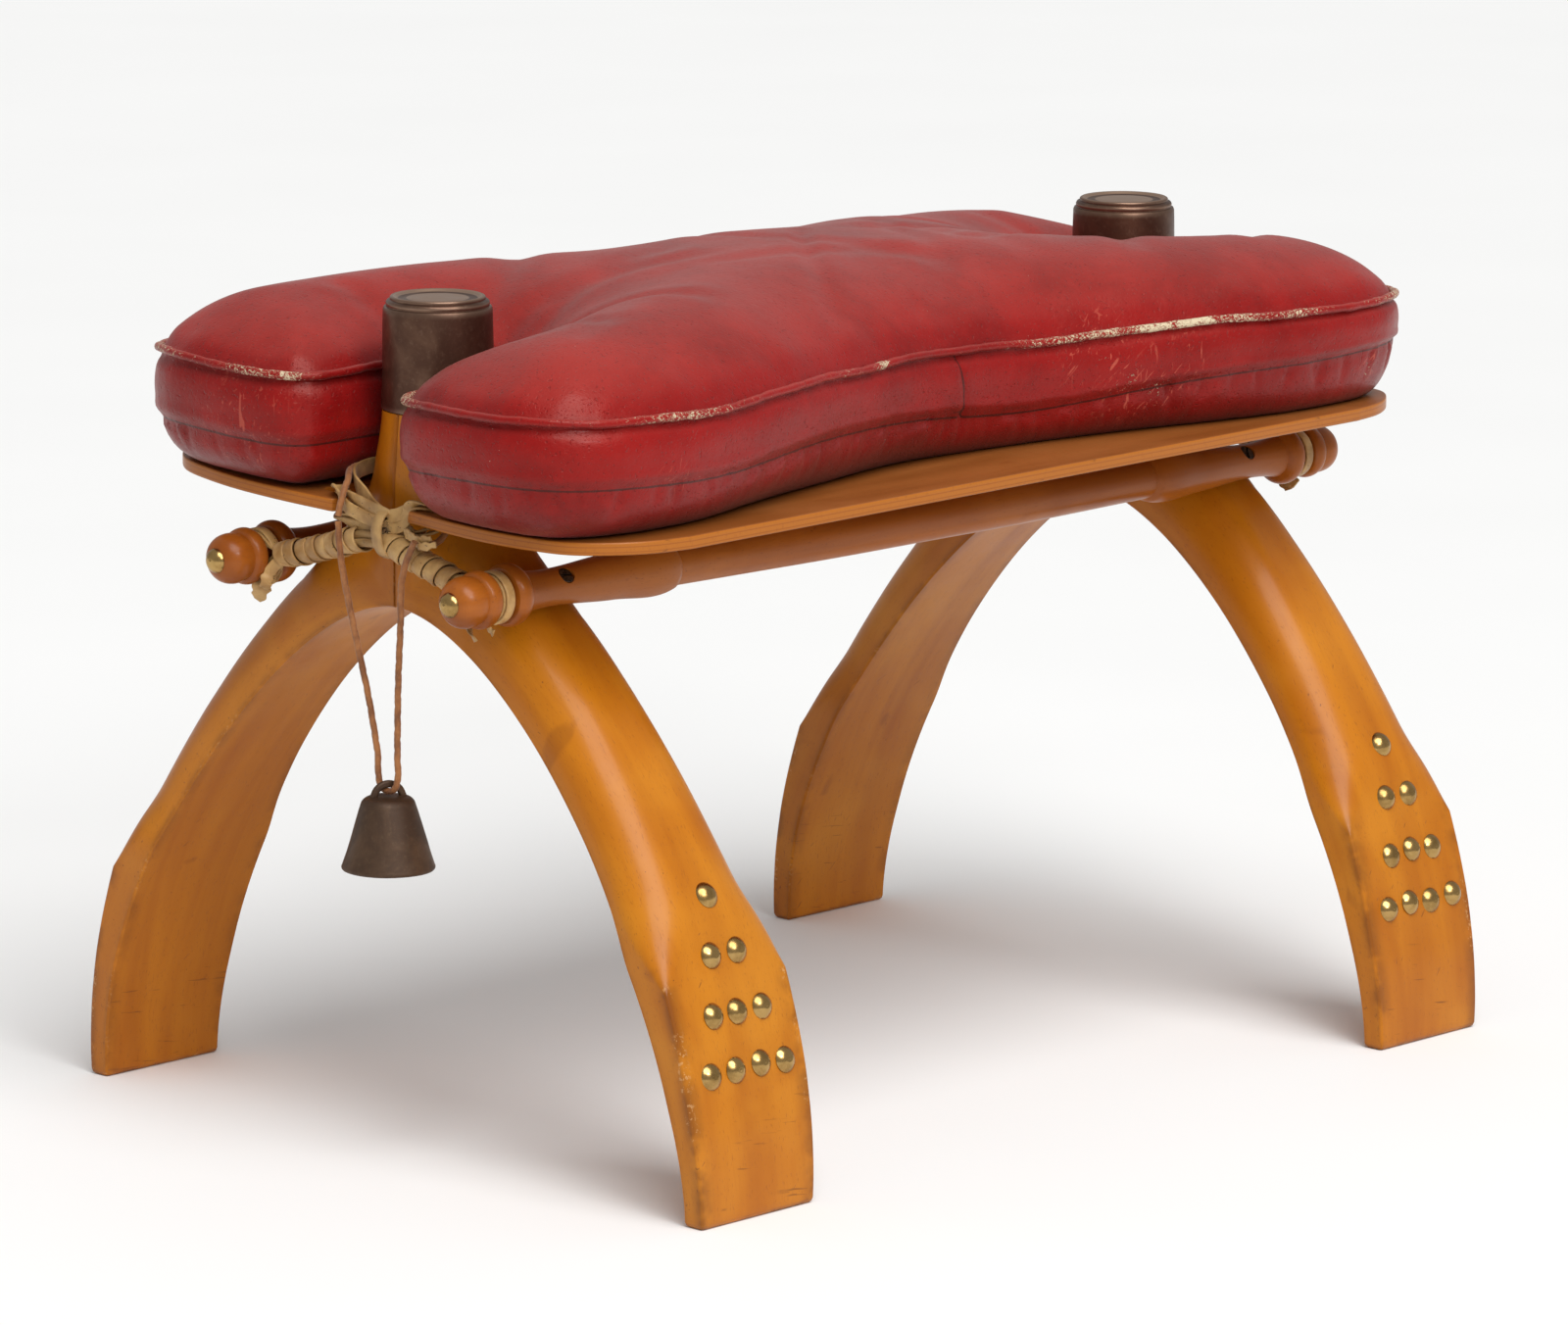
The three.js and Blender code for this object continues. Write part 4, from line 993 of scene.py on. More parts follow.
def board_end(reach, outer):
    notch_in, notch_out = NOTCH_X
    tip = reach - 5
    straight = [
        (notch_in, BOARD_INNER_Y), (notch_in, NOTCH_Y - 4), (notch_in + 1.2, NOTCH_Y - 1.2),
        (notch_in + 4, NOTCH_Y), (notch_out - 4, NOTCH_Y), (notch_out - 1.2, NOTCH_Y - 1.2),
        (notch_out, NOTCH_Y - 4), (notch_out, BOARD_INNER_Y + 3), (notch_out + 1, BOARD_INNER_Y + 0.8),
        (notch_out + 3, BOARD_INNER_Y), (tip - 3, BOARD_INNER_Y), (tip - 0.8, BOARD_INNER_Y + 0.9),
    ]
    curved = spline([
        (tip, BOARD_INNER_Y + 3), (reach - 1, 60), (reach, 88), (reach - 2, 108),
        (reach - 9, 0.45 * outer + 60), (reach - 22, outer - 15), (reach - 41, outer - 4.5),
        (reach - 62, outer),
    ], 60)
    return np.vstack([straight, curved])


def inset_ring(outline, depth):
    """The outline moved inwards by a depth."""
    x, y = outline[:, 0], outline[:, 1]
    area = np.sum(x * np.roll(y, -1) - np.roll(x, -1) * y)
    return outline - loop_normals(outline) * depth * np.sign(area)


def make_boards(material):
    ease = [(0, 1.1), (0.12, 0.5), (0.5, 0.12), (1.1, 0)]
    layers = ease + [(BOARD_T * k / 8, 0) for k in range(2, 7)]
    layers += [(BOARD_T - z, inset) for z, inset in reversed(ease)]
    for name, board in BOARDS.items():
        near = board_end(board["near"], board["outer"]) * np.array([-1, 1])
        far = board_end(board["far"], board["outer"])[::-1]
        outline = np.vstack([near, far]) * np.array([1, board["side"]])
        rings, ply, side = [], [], []
        for z, inset in layers:
            ring = inset_ring(outline, inset)
            height = board_underside(board, ring[:, 0], ring[:, 1]) + z
            rings.append(np.column_stack([ring, height]))
            ply += [z / BOARD_T] * len(ring)
            side += [1.0 if inset < 0.4 else 0.0] * len(ring)
        obj = make_piece(f"seat_board_{name}", "plies", tube(rings), material, 40)
        paint(obj, "ply", ply)
        paint(obj, "side", side)


# ---- cushion

PIPING_Z = 379
SEAM_Z = 342
CROWN = 40
CROWN_SPAN = 76
BELLY = 22
BELLY_SPAN = 36
NOTCH_CENTRE_X = 244
CUSHION_NOTCH_R = 33
HALF_LONG = 300
HALF_WIDE = 150
WALL_BULGE = 3.2
WALL_FOOT_Z = 318
NO_BOARD_Z = 300.0
PIPING_R = 2.1
PIPING_LIFT = 0.3
PIPING_STEPS = 1100
VOXEL = 4.4
CLOTH_START = 0.975
CLOTH_FRAMES = 16
CLOTH_REACH = 7.0
QUARTER = [
    (317, 62), (319.5, 92), (317, 118), (306, 139), (287, 151), (258, 156.5), (220, 156),
    (165, 147), (105, 132), (50, 121), (0, 118),
]


def cushion_outline(count):
    """The cushion's seam line, from the middle of the left side, even steps, (count, 2)."""
    root = []
    for i in range(7):
        a = math.pi - math.pi / 2 * i / 6
        root.append((NOTCH_CENTRE_X + CUSHION_NOTCH_R * math.cos(a), CUSHION_NOTCH_R * math.sin(a)))
    mouth = [(286, 31.6), (299, 33), (309.5, 40), (314.5, 50)]
    quarter = np.array(root + mouth + QUARTER)[::-1]
    half = np.vstack([quarter, (quarter * np.array([1, -1]))[::-1][1:]])
    whole = np.vstack([half, (half * np.array([-1, 1]))[::-1][1:-1]])
    return spline(whole, count, True)


def seam_outward(line):
    out = loop_normals(line)
    return out if out[0, 1] > 0 else -out


class Seam:
    """The seam line with quick answers about how far a point is from it."""

    def __init__(self):
        self.line = cushion_outline(1600)
        self.tree = KDTree(len(self.line))
        for i, (x, y) in enumerate(self.line):
            self.tree.insert((x, y, 0), i)
        self.tree.balance()
        self.length = np.linalg.norm(self.line - np.roll(self.line, 1, 0), axis=1).sum()
        self.out = seam_outward(self.line)

    def near(self, points):
        found = np.array([self.tree.find((x, y, 0))[1:] for x, y in points[:, :2]])
        index = found[:, 0].astype(int)
        return index, found[:, 1], index / len(self.line) * self.length


def seam_sag(x, y):
    """Slow rise and fall of both seam lines round the cushion, and the cushion's slight tilt."""
    waves = 1.1 * np.sin(x / 47 + 0.6) * np.sin(y / 61 + 1.1) + 0.7 * np.sin(x / 23 + y / 31)
    corner = 4.5 * bell_curve((x + HALF_LONG) / 60) * bell_curve((y - 125) / 60)
    return waves + corner - 0.5 * x / HALF_LONG + 1.4 * y / HALF_WIDE


def seam_rise(x, y):
    """How far the lower seam climbs over its place towards the rear, most on the right side."""
    side = mix(0.35, 1.0, smooth((60 - y) / 160))
    climb = 8 * smooth((x - 60) / 240) - 2.5 * bell_curve((x - 30) / 60) + 2 * bell_curve((x + 90) / 50)
    return side * climb + mix(3.0, 5.0, smooth((60 - y) / 160))


def wall_level(x, y, z):
    """The level that a height on the wall stands for: PIPING_Z and SEAM_Z at the two seams."""
    tall = PIPING_Z - SEAM_Z
    return PIPING_Z + (z - seam_sag(x, y) - PIPING_Z) * tall / (tall - seam_rise(x, y))


def crown_height(x, y, d):
    """How far the top stands over the piping line, d being the distance in from it."""
    a, b = x / HALF_LONG, y / HALF_WIDE
    full = CROWN - 5.8 * a - 4.6 * b - 16 * a * a + 9.2 * b * b - 2.3 * a * b
    span = np.minimum(d, CROWN_SPAN) / CROWN_SPAN
    return full * (1 - (1 - span) ** 2) ** 0.8


def board_tops(points):
    """Height of the boards' top faces under each point, or a lower level where there is none."""
    x, y = points[:, 0], points[:, 1]
    best = np.full(len(points), NO_BOARD_Z)
    for board in BOARDS.values():
        over = (y * board["side"] > BOARD_INNER_Y - 2) & (x > -board["near"] - 3) & (x < board["far"] + 3)
        top = board_underside(board, x, y) + BOARD_T
        best = np.where(over, np.maximum(best, top), best)
    return best


def cushion_start(seam):
    """A remeshed slab on the seam line, swelled to its first shape."""
    outline = cushion_outline(420)
    rings = [np.column_stack([outline, np.full(len(outline), z)]) for z in (SEAM_Z, PIPING_Z)]
    obj = new_object("cushion_leather", tube(rings))
    remesh = obj.modifiers.new("remesh", "REMESH")
    remesh.mode = "VOXEL"
    remesh.voxel_size = VOXEL * MM
    applied(obj)
    points = read_points(obj.data)
    index, d, _ = seam.near(points)
    f = clamp01((points[:, 2] - SEAM_Z) / (PIPING_Z - SEAM_Z))
    x, y = points[:, 0].copy(), points[:, 1].copy()
    top = smooth((f - 0.9) / 0.1)
    bottom = smooth((0.1 - f) / 0.1)
    wall = 1 - smooth(d / 6)
    out = seam.out[index]
    bulge = WALL_BULGE * np.sin(math.pi * f) * wall
    points[:, :2] += out * bulge[:, None]
    belly = BELLY * np.sqrt(1 - (1 - np.minimum(d, BELLY_SPAN) / BELLY_SPAN) ** 2)
    swell = CLOTH_START
    rise = seam_rise(x, y)
    deeper = 1 + 1.3 * rise / BELLY
    points[:, 2] += rise * (1 - f) + seam_sag(x, y)
    points[:, 2] += top * crown_height(x, y, d) * swell - bottom * belly * deeper
    held = np.minimum(bell_curve(d / 3.2) * np.maximum(top, bottom) * 1.6, 1)
    tops = board_tops(points)
    rests = (bottom > 0.5) & (points[:, 2] < tops + 2)
    points[:, 2] = np.where(bottom > 0.5, np.maximum(points[:, 2], tops + 0.6), points[:, 2])
    held[rests] = 1
    write_points(obj.data, points)
    return obj, held


def inflate(obj, held):
    """Swells the leather between its seams as cloth under pressure."""
    before = read_points(obj.data)
    group = obj.vertex_groups.new(name="held")
    for level in np.unique(np.round(held, 2)):
        if level > 0:
            group.add([int(i) for i in np.where(np.round(held, 2) == level)[0]], float(level), "REPLACE")
    cloth = obj.modifiers.new("cloth", "CLOTH")
    settings = cloth.settings
    settings.quality = 4
    settings.mass = 0.4
    settings.tension_stiffness = 25
    settings.compression_stiffness = 25
    settings.shear_stiffness = 12
    settings.bending_stiffness = 3
    settings.use_pressure = True
    settings.uniform_pressure_force = 4
    settings.shrink_min = 0.0
    settings.vertex_group_mass = "held"
    settings.effector_weights.gravity = 0
    cloth.point_cache.frame_end = CLOTH_FRAMES
    for step in range(1, CLOTH_FRAMES + 1):
        SCENE.frame_set(step)
    applied(obj)
    SCENE.frame_set(1)
    obj.vertex_groups.clear()
    after = read_points(obj.data)
    move = after - before
    length = np.linalg.norm(move, axis=1, keepdims=True)
    move *= np.minimum(1, CLOTH_REACH / np.maximum(length, 1e-6))
    write_points(obj.data, before + move)


CREASE_SHARE = 0.62

# Pull creases in the top: start, end, sideways bend, depth, width.
CREASES = [
    ((-206, -14), (-60, -8), 10, 3.4, 11), ((-205, 8), (-40, 40), -14, 3.0, 13),
    ((-208, 24), (-110, 92), -8, 2.4, 12), ((-215, -34), (-150, -100), 10, 3.0, 11),
    ((-240, -38), (-228, -104), 5, 2.6, 10), ((-240, 38), (-236, 100), -5, 2.4, 10),
    ((-122, 75), (-6, 72), 4, 1.4, 11), ((-226, -16), (-60, 110), 7, 1.0, 12),
    ((-16, -99), (-72, -154), 4, 2.4, 8), ((-90, -30), (60, -70), 12, 2.2, 14),
    ((206, 6), (50, 20), -10, 3.2, 12), ((205, -12), (70, -34), 9, 3.0, 12),
    ((214, -34), (150, -104), -10, 2.8, 11), ((212, 30), (140, 96), 9, 2.8, 11),
    ((242, -38), (240, -108), 4, 2.4, 10), ((240, 38), (238, 104), -4, 2.4, 10),
    ((33, 28), (-112, -150), -8, 2.8, 9), ((80, 20), (-14, -110), 14, 2.0, 12),
    ((-16, 84), (50, -96), -14, 1.8, 13), ((120, 70), (90, -100), -10, 1.6, 14),
]


def crease_depth(points, crease):
    (x0, y0), (x1, y1), bend, depth, width = crease
    u = np.linspace(0, 1, 90)
    start, end = np.array([x0, y0], float), np.array([x1, y1], float)
    normal = unit(np.array([-(end - start)[1], (end - start)[0]]))
    line = start + u[:, None] * (end - start) + (bend * np.sin(math.pi * u))[:, None] * normal
    near = np.full(len(points), 1e9)
    at = np.zeros(len(points))
    for place, (x, y) in zip(u, line):
        gap = np.hypot(points[:, 0] - x, points[:, 1] - y)
        at = np.where(gap < near, place, at)
        near = np.minimum(near, gap)
    q = near / (width * mix(0.7, 1.3, at))
    fade = np.minimum(1, 4.5 * (1 - at)) * np.minimum(1, at * 7 + 0.35)
    return CREASE_SHARE * depth * fade * (1 - 1.2 * q * q) * np.exp(-q * q)


GATHER_CENTRES = ((262, -150), (292, -140), (-280, 148), (285, 140), (-285, -146), (140, -140))


def gathers(seam, s, level):
    """Depth of the small folds that run down from the lower seam, deepest near the gather centres."""
    draw = random.Random(3)
    below = smooth((SEAM_Z - 0.5 - level) / 3)
    fade = np.exp(-np.maximum(SEAM_Z - level, 0) / 12.0)
    depths = np.zeros(len(s))
    at = 0.0
    while at < seam.length:
        at += draw.uniform(9, 26)
        width, depth = draw.uniform(1.6, 3.0), draw.uniform(0.5, 1.5)
        here = seam.line[int(at / seam.length * len(seam.line)) % len(seam.line)]
        close = min(math.hypot(here[0] - cx, here[1] - cy) for cx, cy in GATHER_CENTRES)
        depth *= 1 + 2.4 * math.exp(-(close / 55) ** 2)
        slant = draw.uniform(-0.35, 0.35) * (SEAM_Z - level)
        gap = (s - at + slant + seam.length / 2) % seam.length - seam.length / 2
        depths += depth * bell_curve(gap / width) * below * fade
    return depths, draw


def sculpt_top(points, d, s, top, inside):
    """Height changes of the top: pull creases, dips at the notches, the seam's groove and ripples."""
    lift = np.zeros(len(points))
    for crease in CREASES:
        lift -= crease_depth(points, crease)
    lift *= smooth((d - 3) / 22)
    lift -= 4.0 * bell_curve((np.abs(points[:, 0]) - 205) / 20) * bell_curve(points[:, 1] / 22)
    lift -= 2.6 * bell_curve((d - 1.2) / 3.6) * inside
    waves = 0.8 * np.sin(s / 8.3) + 0.6 * np.sin(s / 5.1 + 1) + 0.5 * np.sin(s / 13 + 2)
    return (lift + 0.55 * waves * bell_curve((d - 9) / 7)) * top


def sculpt(obj, seam):
    """Creases, gathers and seam grooves, on the fine mesh, and what the leather's material reads."""
    points = read_points(obj.data)
    index, d, s = seam.near(points)
    x, y, z = points.copy().T
    level = wall_level(x, y, z)
    out = seam.out[index]
    inside = np.sum((points[:, :2] - seam.line[index]) * out, axis=1) < 0
    top = smooth((level - PIPING_Z + 1) / 6)
    side = (1 - smooth(d / 9)) * smooth((level - WALL_FOOT_Z) / 10) * (1 - smooth((level - PIPING_Z) / 4))
    points[:, 2] += sculpt_top(points, d, s, top, inside)

    share = clamp01((level - SEAM_Z) / (PIPING_Z - SEAM_Z))
    waver = np.sin(s / 21 + 0.4) + 0.6 * np.sin(s / 9 + level / 14)
    at_seam = 1 - smooth((d - 3) / 5)
    push = -1.7 * bell_curve((level - PIPING_Z + 3.5) / 3.2) * (1 - smooth((d - 2) / 4))
    push -= 1.9 * bell_curve((level - SEAM_Z) / 2.6) * at_seam
    push += (1.2 * bell_curve((level - SEAM_Z - 6) / 4) + 0.55 * waver * np.sin(math.pi * share)) * side
    depths, draw = gathers(seam, s, level)
    stitches = np.sin(s / 2.6 + draw.uniform(0, 1)) * bell_curve((level - SEAM_Z - 2.5) / 2.5)
    push += 0.12 * stitches * at_seam - depths
    from_joint = x + 8 - (PIPING_Z - level) * 0.12
    push -= 1.2 * bell_curve(from_joint / 1.5) * (y < 0) * side
    points[:, :2] += out * push[:, None]
    on_boards = np.maximum(points[:, 2], board_tops(points) + 0.3)
    points[:, 2] = np.where(level < SEAM_Z, on_boards, points[:, 2])
    write_points(obj.data, points)

    distance = np.where(1 - smooth((d - 4) / 6) > 0.02, level - SEAM_Z, 30)
    on_wall = (y < 0) & (d < 8) & (level > SEAM_Z) & (level < PIPING_Z + 2) & (np.abs(x) < 60)
    distance = np.where(on_wall & (np.abs(from_joint) < np.abs(distance)), from_joint, distance)
    paint(obj, "seam", distance)
    paint(obj, "worn", wear_at(points, WALL_WEAR))


# Worn places: centre, reach and strength.
PIPING_WEAR = [
    ((60, -137), 34, 0.62), ((88, -138), 22, 0.76), ((118, -141), 20, 0.94), ((142, -143), 17, 0.98),
    ((170, -147), 26, 0.68), ((210, -155), 22, 0.55), ((-69, -125), 6, 0.8), ((-100, -130), 20, 0.3),
    ((-300, 130), 34, 0.62), ((-312, 60), 26, 0.58), ((-309, 42), 9, 0.8), ((-306, -42), 20, 0.7),
    ((-240, -155), 40, 0.58), ((300, -140), 40, 0.66), ((314, -120), 12, 0.6), ((300, 60), 26, 0.7),
    ((150, 143), 40, 0.7), ((-60, 124), 26, 0.62),
]
WALL_WEAR = [
    ((86, -130, 368), 26, 0.8), ((104, -134, 352), 24, 0.86), ((122, -138, 347), 18, 0.9),
    ((140, -142, 360), 18, 0.7), ((270, -156, 344), 12, 0.95), ((-312, 66, 358), 34, 0.6),
    ((-308, 120, 362), 50, 0.35), ((-246, -156, 350), 12, 0.7), ((200, 150, 356), 30, 0.7),
    ((306, -60, 360), 30, 0.6), ((-309, -50, 362), 14, 0.55),
]


def wear_at(points, places):
    worn = np.zeros(len(points))
    for place, reach, strength in places:
        gap = np.linalg.norm(points[:, :len(place)] - np.array(place, float), axis=1)
        worn = np.maximum(worn, strength * bell_curve(gap / reach * 0.9))
    return worn


def make_piping(seam, material):
    """A corded edge sewn round the upper seam line."""
    line = cushion_outline(PIPING_STEPS)
    step = np.arange(PIPING_STEPS) * seam.length / PIPING_STEPS
    sway = 0.28 * np.sin(step / 7.7) + 0.22 * np.sin(step / 4.1 + 1)
    height = PIPING_Z + seam_sag(line[:, 0], line[:, 1]) + PIPING_LIFT + 0.3 * np.sin(step / 11)
    path = np.column_stack([line + seam_outward(line) * (0.5 + 0.6 * sway)[:, None], height])
    thick = PIPING_R * (1 + 0.05 * np.sin(step / 3.1) + 0.04 * np.sin(step / 1.9 + 2))
    shell = sweep(path, circle(14)[None] * thick[:, None, None], True, (0, 0, 1))
    obj = new_object("cushion_piping", shell)
    paint(obj, "worn", wear_at(shell[0], PIPING_WEAR))
    dress(obj, "loose_cushion", material)


def make_cushion():
    seam = Seam()
    obj, held = cushion_start(seam)
    inflate(obj, held)
    fine = obj.modifiers.new("fine", "SUBSURF")
    fine.levels = fine.render_levels = 1
    applied(obj)
    sculpt(obj, seam)
    dress(obj, "loose_cushion", leather("leather_skin", False), ["cushion"], 180)
    make_piping(seam, leather("leather_piping", True))


# ---- lashings

WRAP_R = 5.9
WRAP_LEAN = math.radians(7)
WRAP_STEPS = 30
STRAND_R = 2.2
STRAND_OFFSET = 2.4
TIE_X, TIE_Y, TIE_Z = 294, -11.0, 308.4
BUNDLE_ROUTE = [
    (293.2, 66, 288.6), (293.4, 48, 292.6), (293.8, 24, 299.4), (294, 4, 304.4), (294, -8, 304.6),
    (293.8, -26, 300), (293.4, -48, 293.6), (293.2, -66, 288.6),
]


def drift(draw, count, step, reach):
    """A number that wanders along a winding, with a fresh value at every step."""
    knots = range(0, count + 2 * step, step)
    return np.interp(np.arange(count), knots, [draw.uniform(-reach, reach) for _ in knots])


def wrapping(core, start, end, turns, width, draw):
    """Flat thong wound round a core between two shares of its length, each turn lapping the last."""
    count = int(turns * WRAP_STEPS)
    at = np.linspace(start, end, count)
    share = np.linspace(0, 1, len(core))
    centre = np.stack([np.interp(at, share, core[:, k]) for k in range(3)], axis=1)
    pick = np.clip((at * (len(core) - 1)).astype(int), 0, len(core) - 1)
    tangent, u, v = [way[pick] for way in path_frames(core)]
    angle = np.linspace(0, 2 * math.pi * turns, count)
    out = np.cos(angle)[:, None] * u + np.sin(angle)[:, None] * v
    radius = WRAP_R + drift(draw, count, 20, 0.5)
    slip = drift(draw, count, 25, 1.0)
    path = centre + out * radius[:, None] + tangent * slip[:, None]
    flat = rounded_box(width, 1.15, 0.5, 2)
    wide = tangent * math.cos(WRAP_LEAN) + out * math.sin(WRAP_LEAN)
    thick = out * math.cos(WRAP_LEAN) - tangent * math.sin(WRAP_LEAN)
    return tube(path[:, None] + flat[None, :, :1] * wide[:, None] + flat[None, :, 1:] * thick[:, None])


def strap(points, width, thickness, count=60, closed=False, up=(0, 0, 1), ragged=None):
    """A flat thong along a route, its width along up, one or one a point; ragged wears its end."""
    path = spline(points, count, closed)
    up = np.asarray(up, float)
    if up.ndim == 2:
        route = np.hstack([np.asarray(points, float), up])
        route = np.vstack([route, route[:1]]) if closed else route
        reach = length_along(route[:, :3])
        at = np.linspace(0, reach[-1], count, endpoint=not closed)
        up = np.stack([np.interp(at, reach, route[:, k]) for k in (3, 4, 5)], axis=1)
    section = np.repeat(rounded_box(thickness, width, thickness * 0.42, 2)[None], count, axis=0)
    if ragged is not None:
        tail = np.linspace(0, 1, count)
        worn = 1 - 0.4 * smooth((tail - 0.75) / 0.25) + 0.16 * np.sin(tail * 29 + ragged) * (tail > 0.4)
        section[..., 1] *= worn[:, None]
    return sweep(path, section, closed, up)


def neck_loop(side):
    """The strands that run from the bundle's end round the rod's turned neck, as three flat turns."""
    shells = []
    for radius, x, width in ((9.2, 293.4, 6.8), (10.8, 293.6, 6.2), (12.3, 293.0, 5.4)):
        points = [(x, side * 61, ROD_Z + 0.8), (x, side * 69.5, ROD_Z - 3.4)]
        for degrees in range(-135, 136, 30):
            a = math.radians(degrees)
            points.append((x, side * (ROD_Y + radius * math.cos(a)), ROD_Z + radius * math.sin(a)))
        points += [(x, side * 69.5, ROD_Z + 4.6), (x, side * 61, ROD_Z + 3)]
        shells.append(strap(points, width, 1.5, 90, True, (1, 0, 0)))
    return shells


# Loose ends of thong below the neck: start, middle, end and width, for the rear left side.
TABS = [
    ((294.0, 66, 287), (296.5, 71, 279), (298, 77, 266), 9.0),
    ((292.0, 69, 286), (291.5, 74, 278), (294, 83, 270), 8.0),
    ((296.5, 63, 287), (299.5, 67, 280), (299, 69, 272), 6.0),
]


def frayed_tabs(side, draw):
    """Stiff loose ends of thong below the neck, curled and torn."""
    shells = []
    across = np.array([(0.1, 0.85, 0.5), (0.5, 0.7, 0.4), (0.75, 0.45, 0.2), (0.35, 0.8, 0.5)])
    for start, middle, end, width in TABS:
        points = np.array([start, middle, mix(np.array(middle), np.array(end), 0.5), end], float)
        points[2] += [draw.uniform(1.5, 2.6), draw.uniform(-1, 1), draw.uniform(-1, 1)]
        points[1:] += [draw.uniform(-0.6, 0.6), draw.uniform(-1.2, 1.2), draw.uniform(-1, 1)]
        turned = across + np.array([draw.uniform(-0.25, 0.25), 0, draw.uniform(-0.2, 0.2)])
        flip = np.array([1, side, 1])
        shells.append(strap(points * flip, width, 1.0, 44, False, turned * flip, draw.uniform(0, 6)))
    return shells


# Two turns of thong from the tie round a board's inner horn: place, and the way the width lies.
ALONG = (0.846, 0.535, 0)
HORN_TURNS = [
    [
        (294.5, -1, 316.5, 0, -0.65, 0.75), (296.6, 9, 320.4, 0, -0.55, 0.8),
        (295.4, 18, 323.6, 0.4, -0.1, 0.7), (292.8, 24, 324.3, *ALONG),
        (289.5, 28.2, 323.8, *ALONG), (285.4, 31, 322.4, *ALONG),
        (283.4, 31.8, 318.4, *ALONG), (284.2, 31.4, 314.6, *ALONG),
        (288.5, 28.6, 313.3, *ALONG), (292.5, 19, 312, 0.4, 0.1, 0.6),
        (293.6, 8, 313.4, 0, 0.1, 1),
    ],
    [
        (295, 1, 311.5, 0, -0.6, 0.8), (297.6, 11, 315.6, 0, -0.55, 0.8),
        (297.4, 19.5, 320, 0.1, -0.4, 0.9), (295.4, 25, 325.6, 0.5, 0, 0.6),
        (290.4, 29.8, 326.1, *ALONG), (285, 33, 324.4, *ALONG),
        (282.6, 34.2, 318.6, *ALONG), (283.6, 33.6, 312.8, *ALONG),
        (288.8, 30.4, 311, *ALONG), (293.2, 21, 309.8, 0.4, 0.1, 0.6),
        (294.2, 10, 309.2, 0, 0.1, 1),
    ],
]


def horn_straps(x, y):
    lift = 0.6 if y > 0 else 0
    shells = []
    for rows in HORN_TURNS:
        rows = np.array(rows, float)
        points = rows[:, :3] * np.array([x, y, 1])
        near_tie = smooth((24 - rows[:, 1]) / 22)
        points[:, 1] += mix(-2, TIE_Y, near_tie)
        points[:, 2] += lift
        if y < 0:
            points[:, 0] -= x * 5.5 * bell_curve((rows[:, 1] - 16) / 9)
            points[:, 2] -= 2.5 * bell_curve((rows[:, 1] - 16) / 10)
        shells.append(strap(points, 6.8, 1.4, 120, True, rows[:, 3:] * np.array([x, y, 1])))
    return shells


def hitch_thong(x):
    """A thong from the tie up round the post's left side, beside the cord's hitch."""
    points = np.array([
        (294.5, -9, 316.5), (293, 1, 320.2), (289.5, 11, 324.5), (284.6, 21.5, 328.6), (277, 30, 331),
        (266, 35.6, 332), (250, 38, 332), (234, 35, 331),
    ])
    up = np.array([(0, -0.5, 0.85)] * 3 + [(0.3, -0.2, 0.9)] * 5)
    flip = np.array([x, 1, 1])
    return [strap(points * flip, 8.4, 1.4, 90, False, up * flip)]


def knot_ends(x, draw):
    """Three cut ends of thong, pushed out beside the tie under the right board."""
    shells = []
    for k in range(3):
        start = np.array([295.0, -24 - 2.0 * k, 310.5 - 0.8 * k])
        points = [
            start, start + [3, -6, 0.6], start + [3.4 + k, -11.5, draw.uniform(-2, 1.5)],
            start + [2.5, -17 - 1.5 * k, draw.uniform(-3.5, 1.5)],
        ]
        flip = np.array([x, 1, 1])
        up = np.array([0.2, 0.1, 1]) * flip
        shells.append(strap(np.array(points) * flip, 5.4 - 0.6 * k, 1.1, 40, False, up, draw.uniform(0, 6)))
    return shells


def bundle(x, draw):
    """Three strands between the rods' necks, with thong wound round them from both ends."""
    core = spline(BUNDLE_ROUTE, 160) * np.array([x, 1, 1])
    _, u, v = path_frames(core)
    shells = []
    for k in range(3):
        a = 2 * math.pi * k / 3 + 0.5
        strand = core + STRAND_OFFSET * (math.cos(a) * u + math.sin(a) * v)
        shells.append(sweep(strand, STRAND_R * circle(12)))
    shells.append(wrapping(core, 0.015, 0.465, 8, 8.2, draw))
    shells.append(wrapping(core, 0.985, 0.545, 7, 8.4, draw))
    return merged(shells)


def tie_ring(x):
    ring = [(x * (TIE_X + 7.8 * c), TIE_Y + 1.5 * s, TIE_Z + 11 * s) for c, s in circle(12)]
    return strap(ring, 7.0, 1.4, 80, True, (0, 1, 0))


def make_lashings(material):
    def tied(name, shell, node):
        dress(new_object(name, shell), "frame", material, [node], 60)

    for number, (end, x) in enumerate(ENDS.items()):
        draw = random.Random(11 + number)
        tied(f"lashing_bundle_{end}_wound", bundle(x, draw), f"lashing_bundle_{end}")
        tie = merged([tie_ring(x)] + knot_ends(x, draw) + hitch_thong(x))
        tied(f"lashing_tie_{end}_strap", tie, f"lashing_tie_{end}")
        for side, y in SIDES.items():
            corner = f"{end}_{side}"
            tied(f"horn_loop_{corner}_strap", merged(horn_straps(x, y)), f"horn_loop_{corner}")
            around = merged(neck_loop(y) + frayed_tabs(y, draw))
            tied(f"neck_loop_{corner}_strap", flipped(around, x, 1), f"neck_ring_{corner}")


# ---- bell and cord

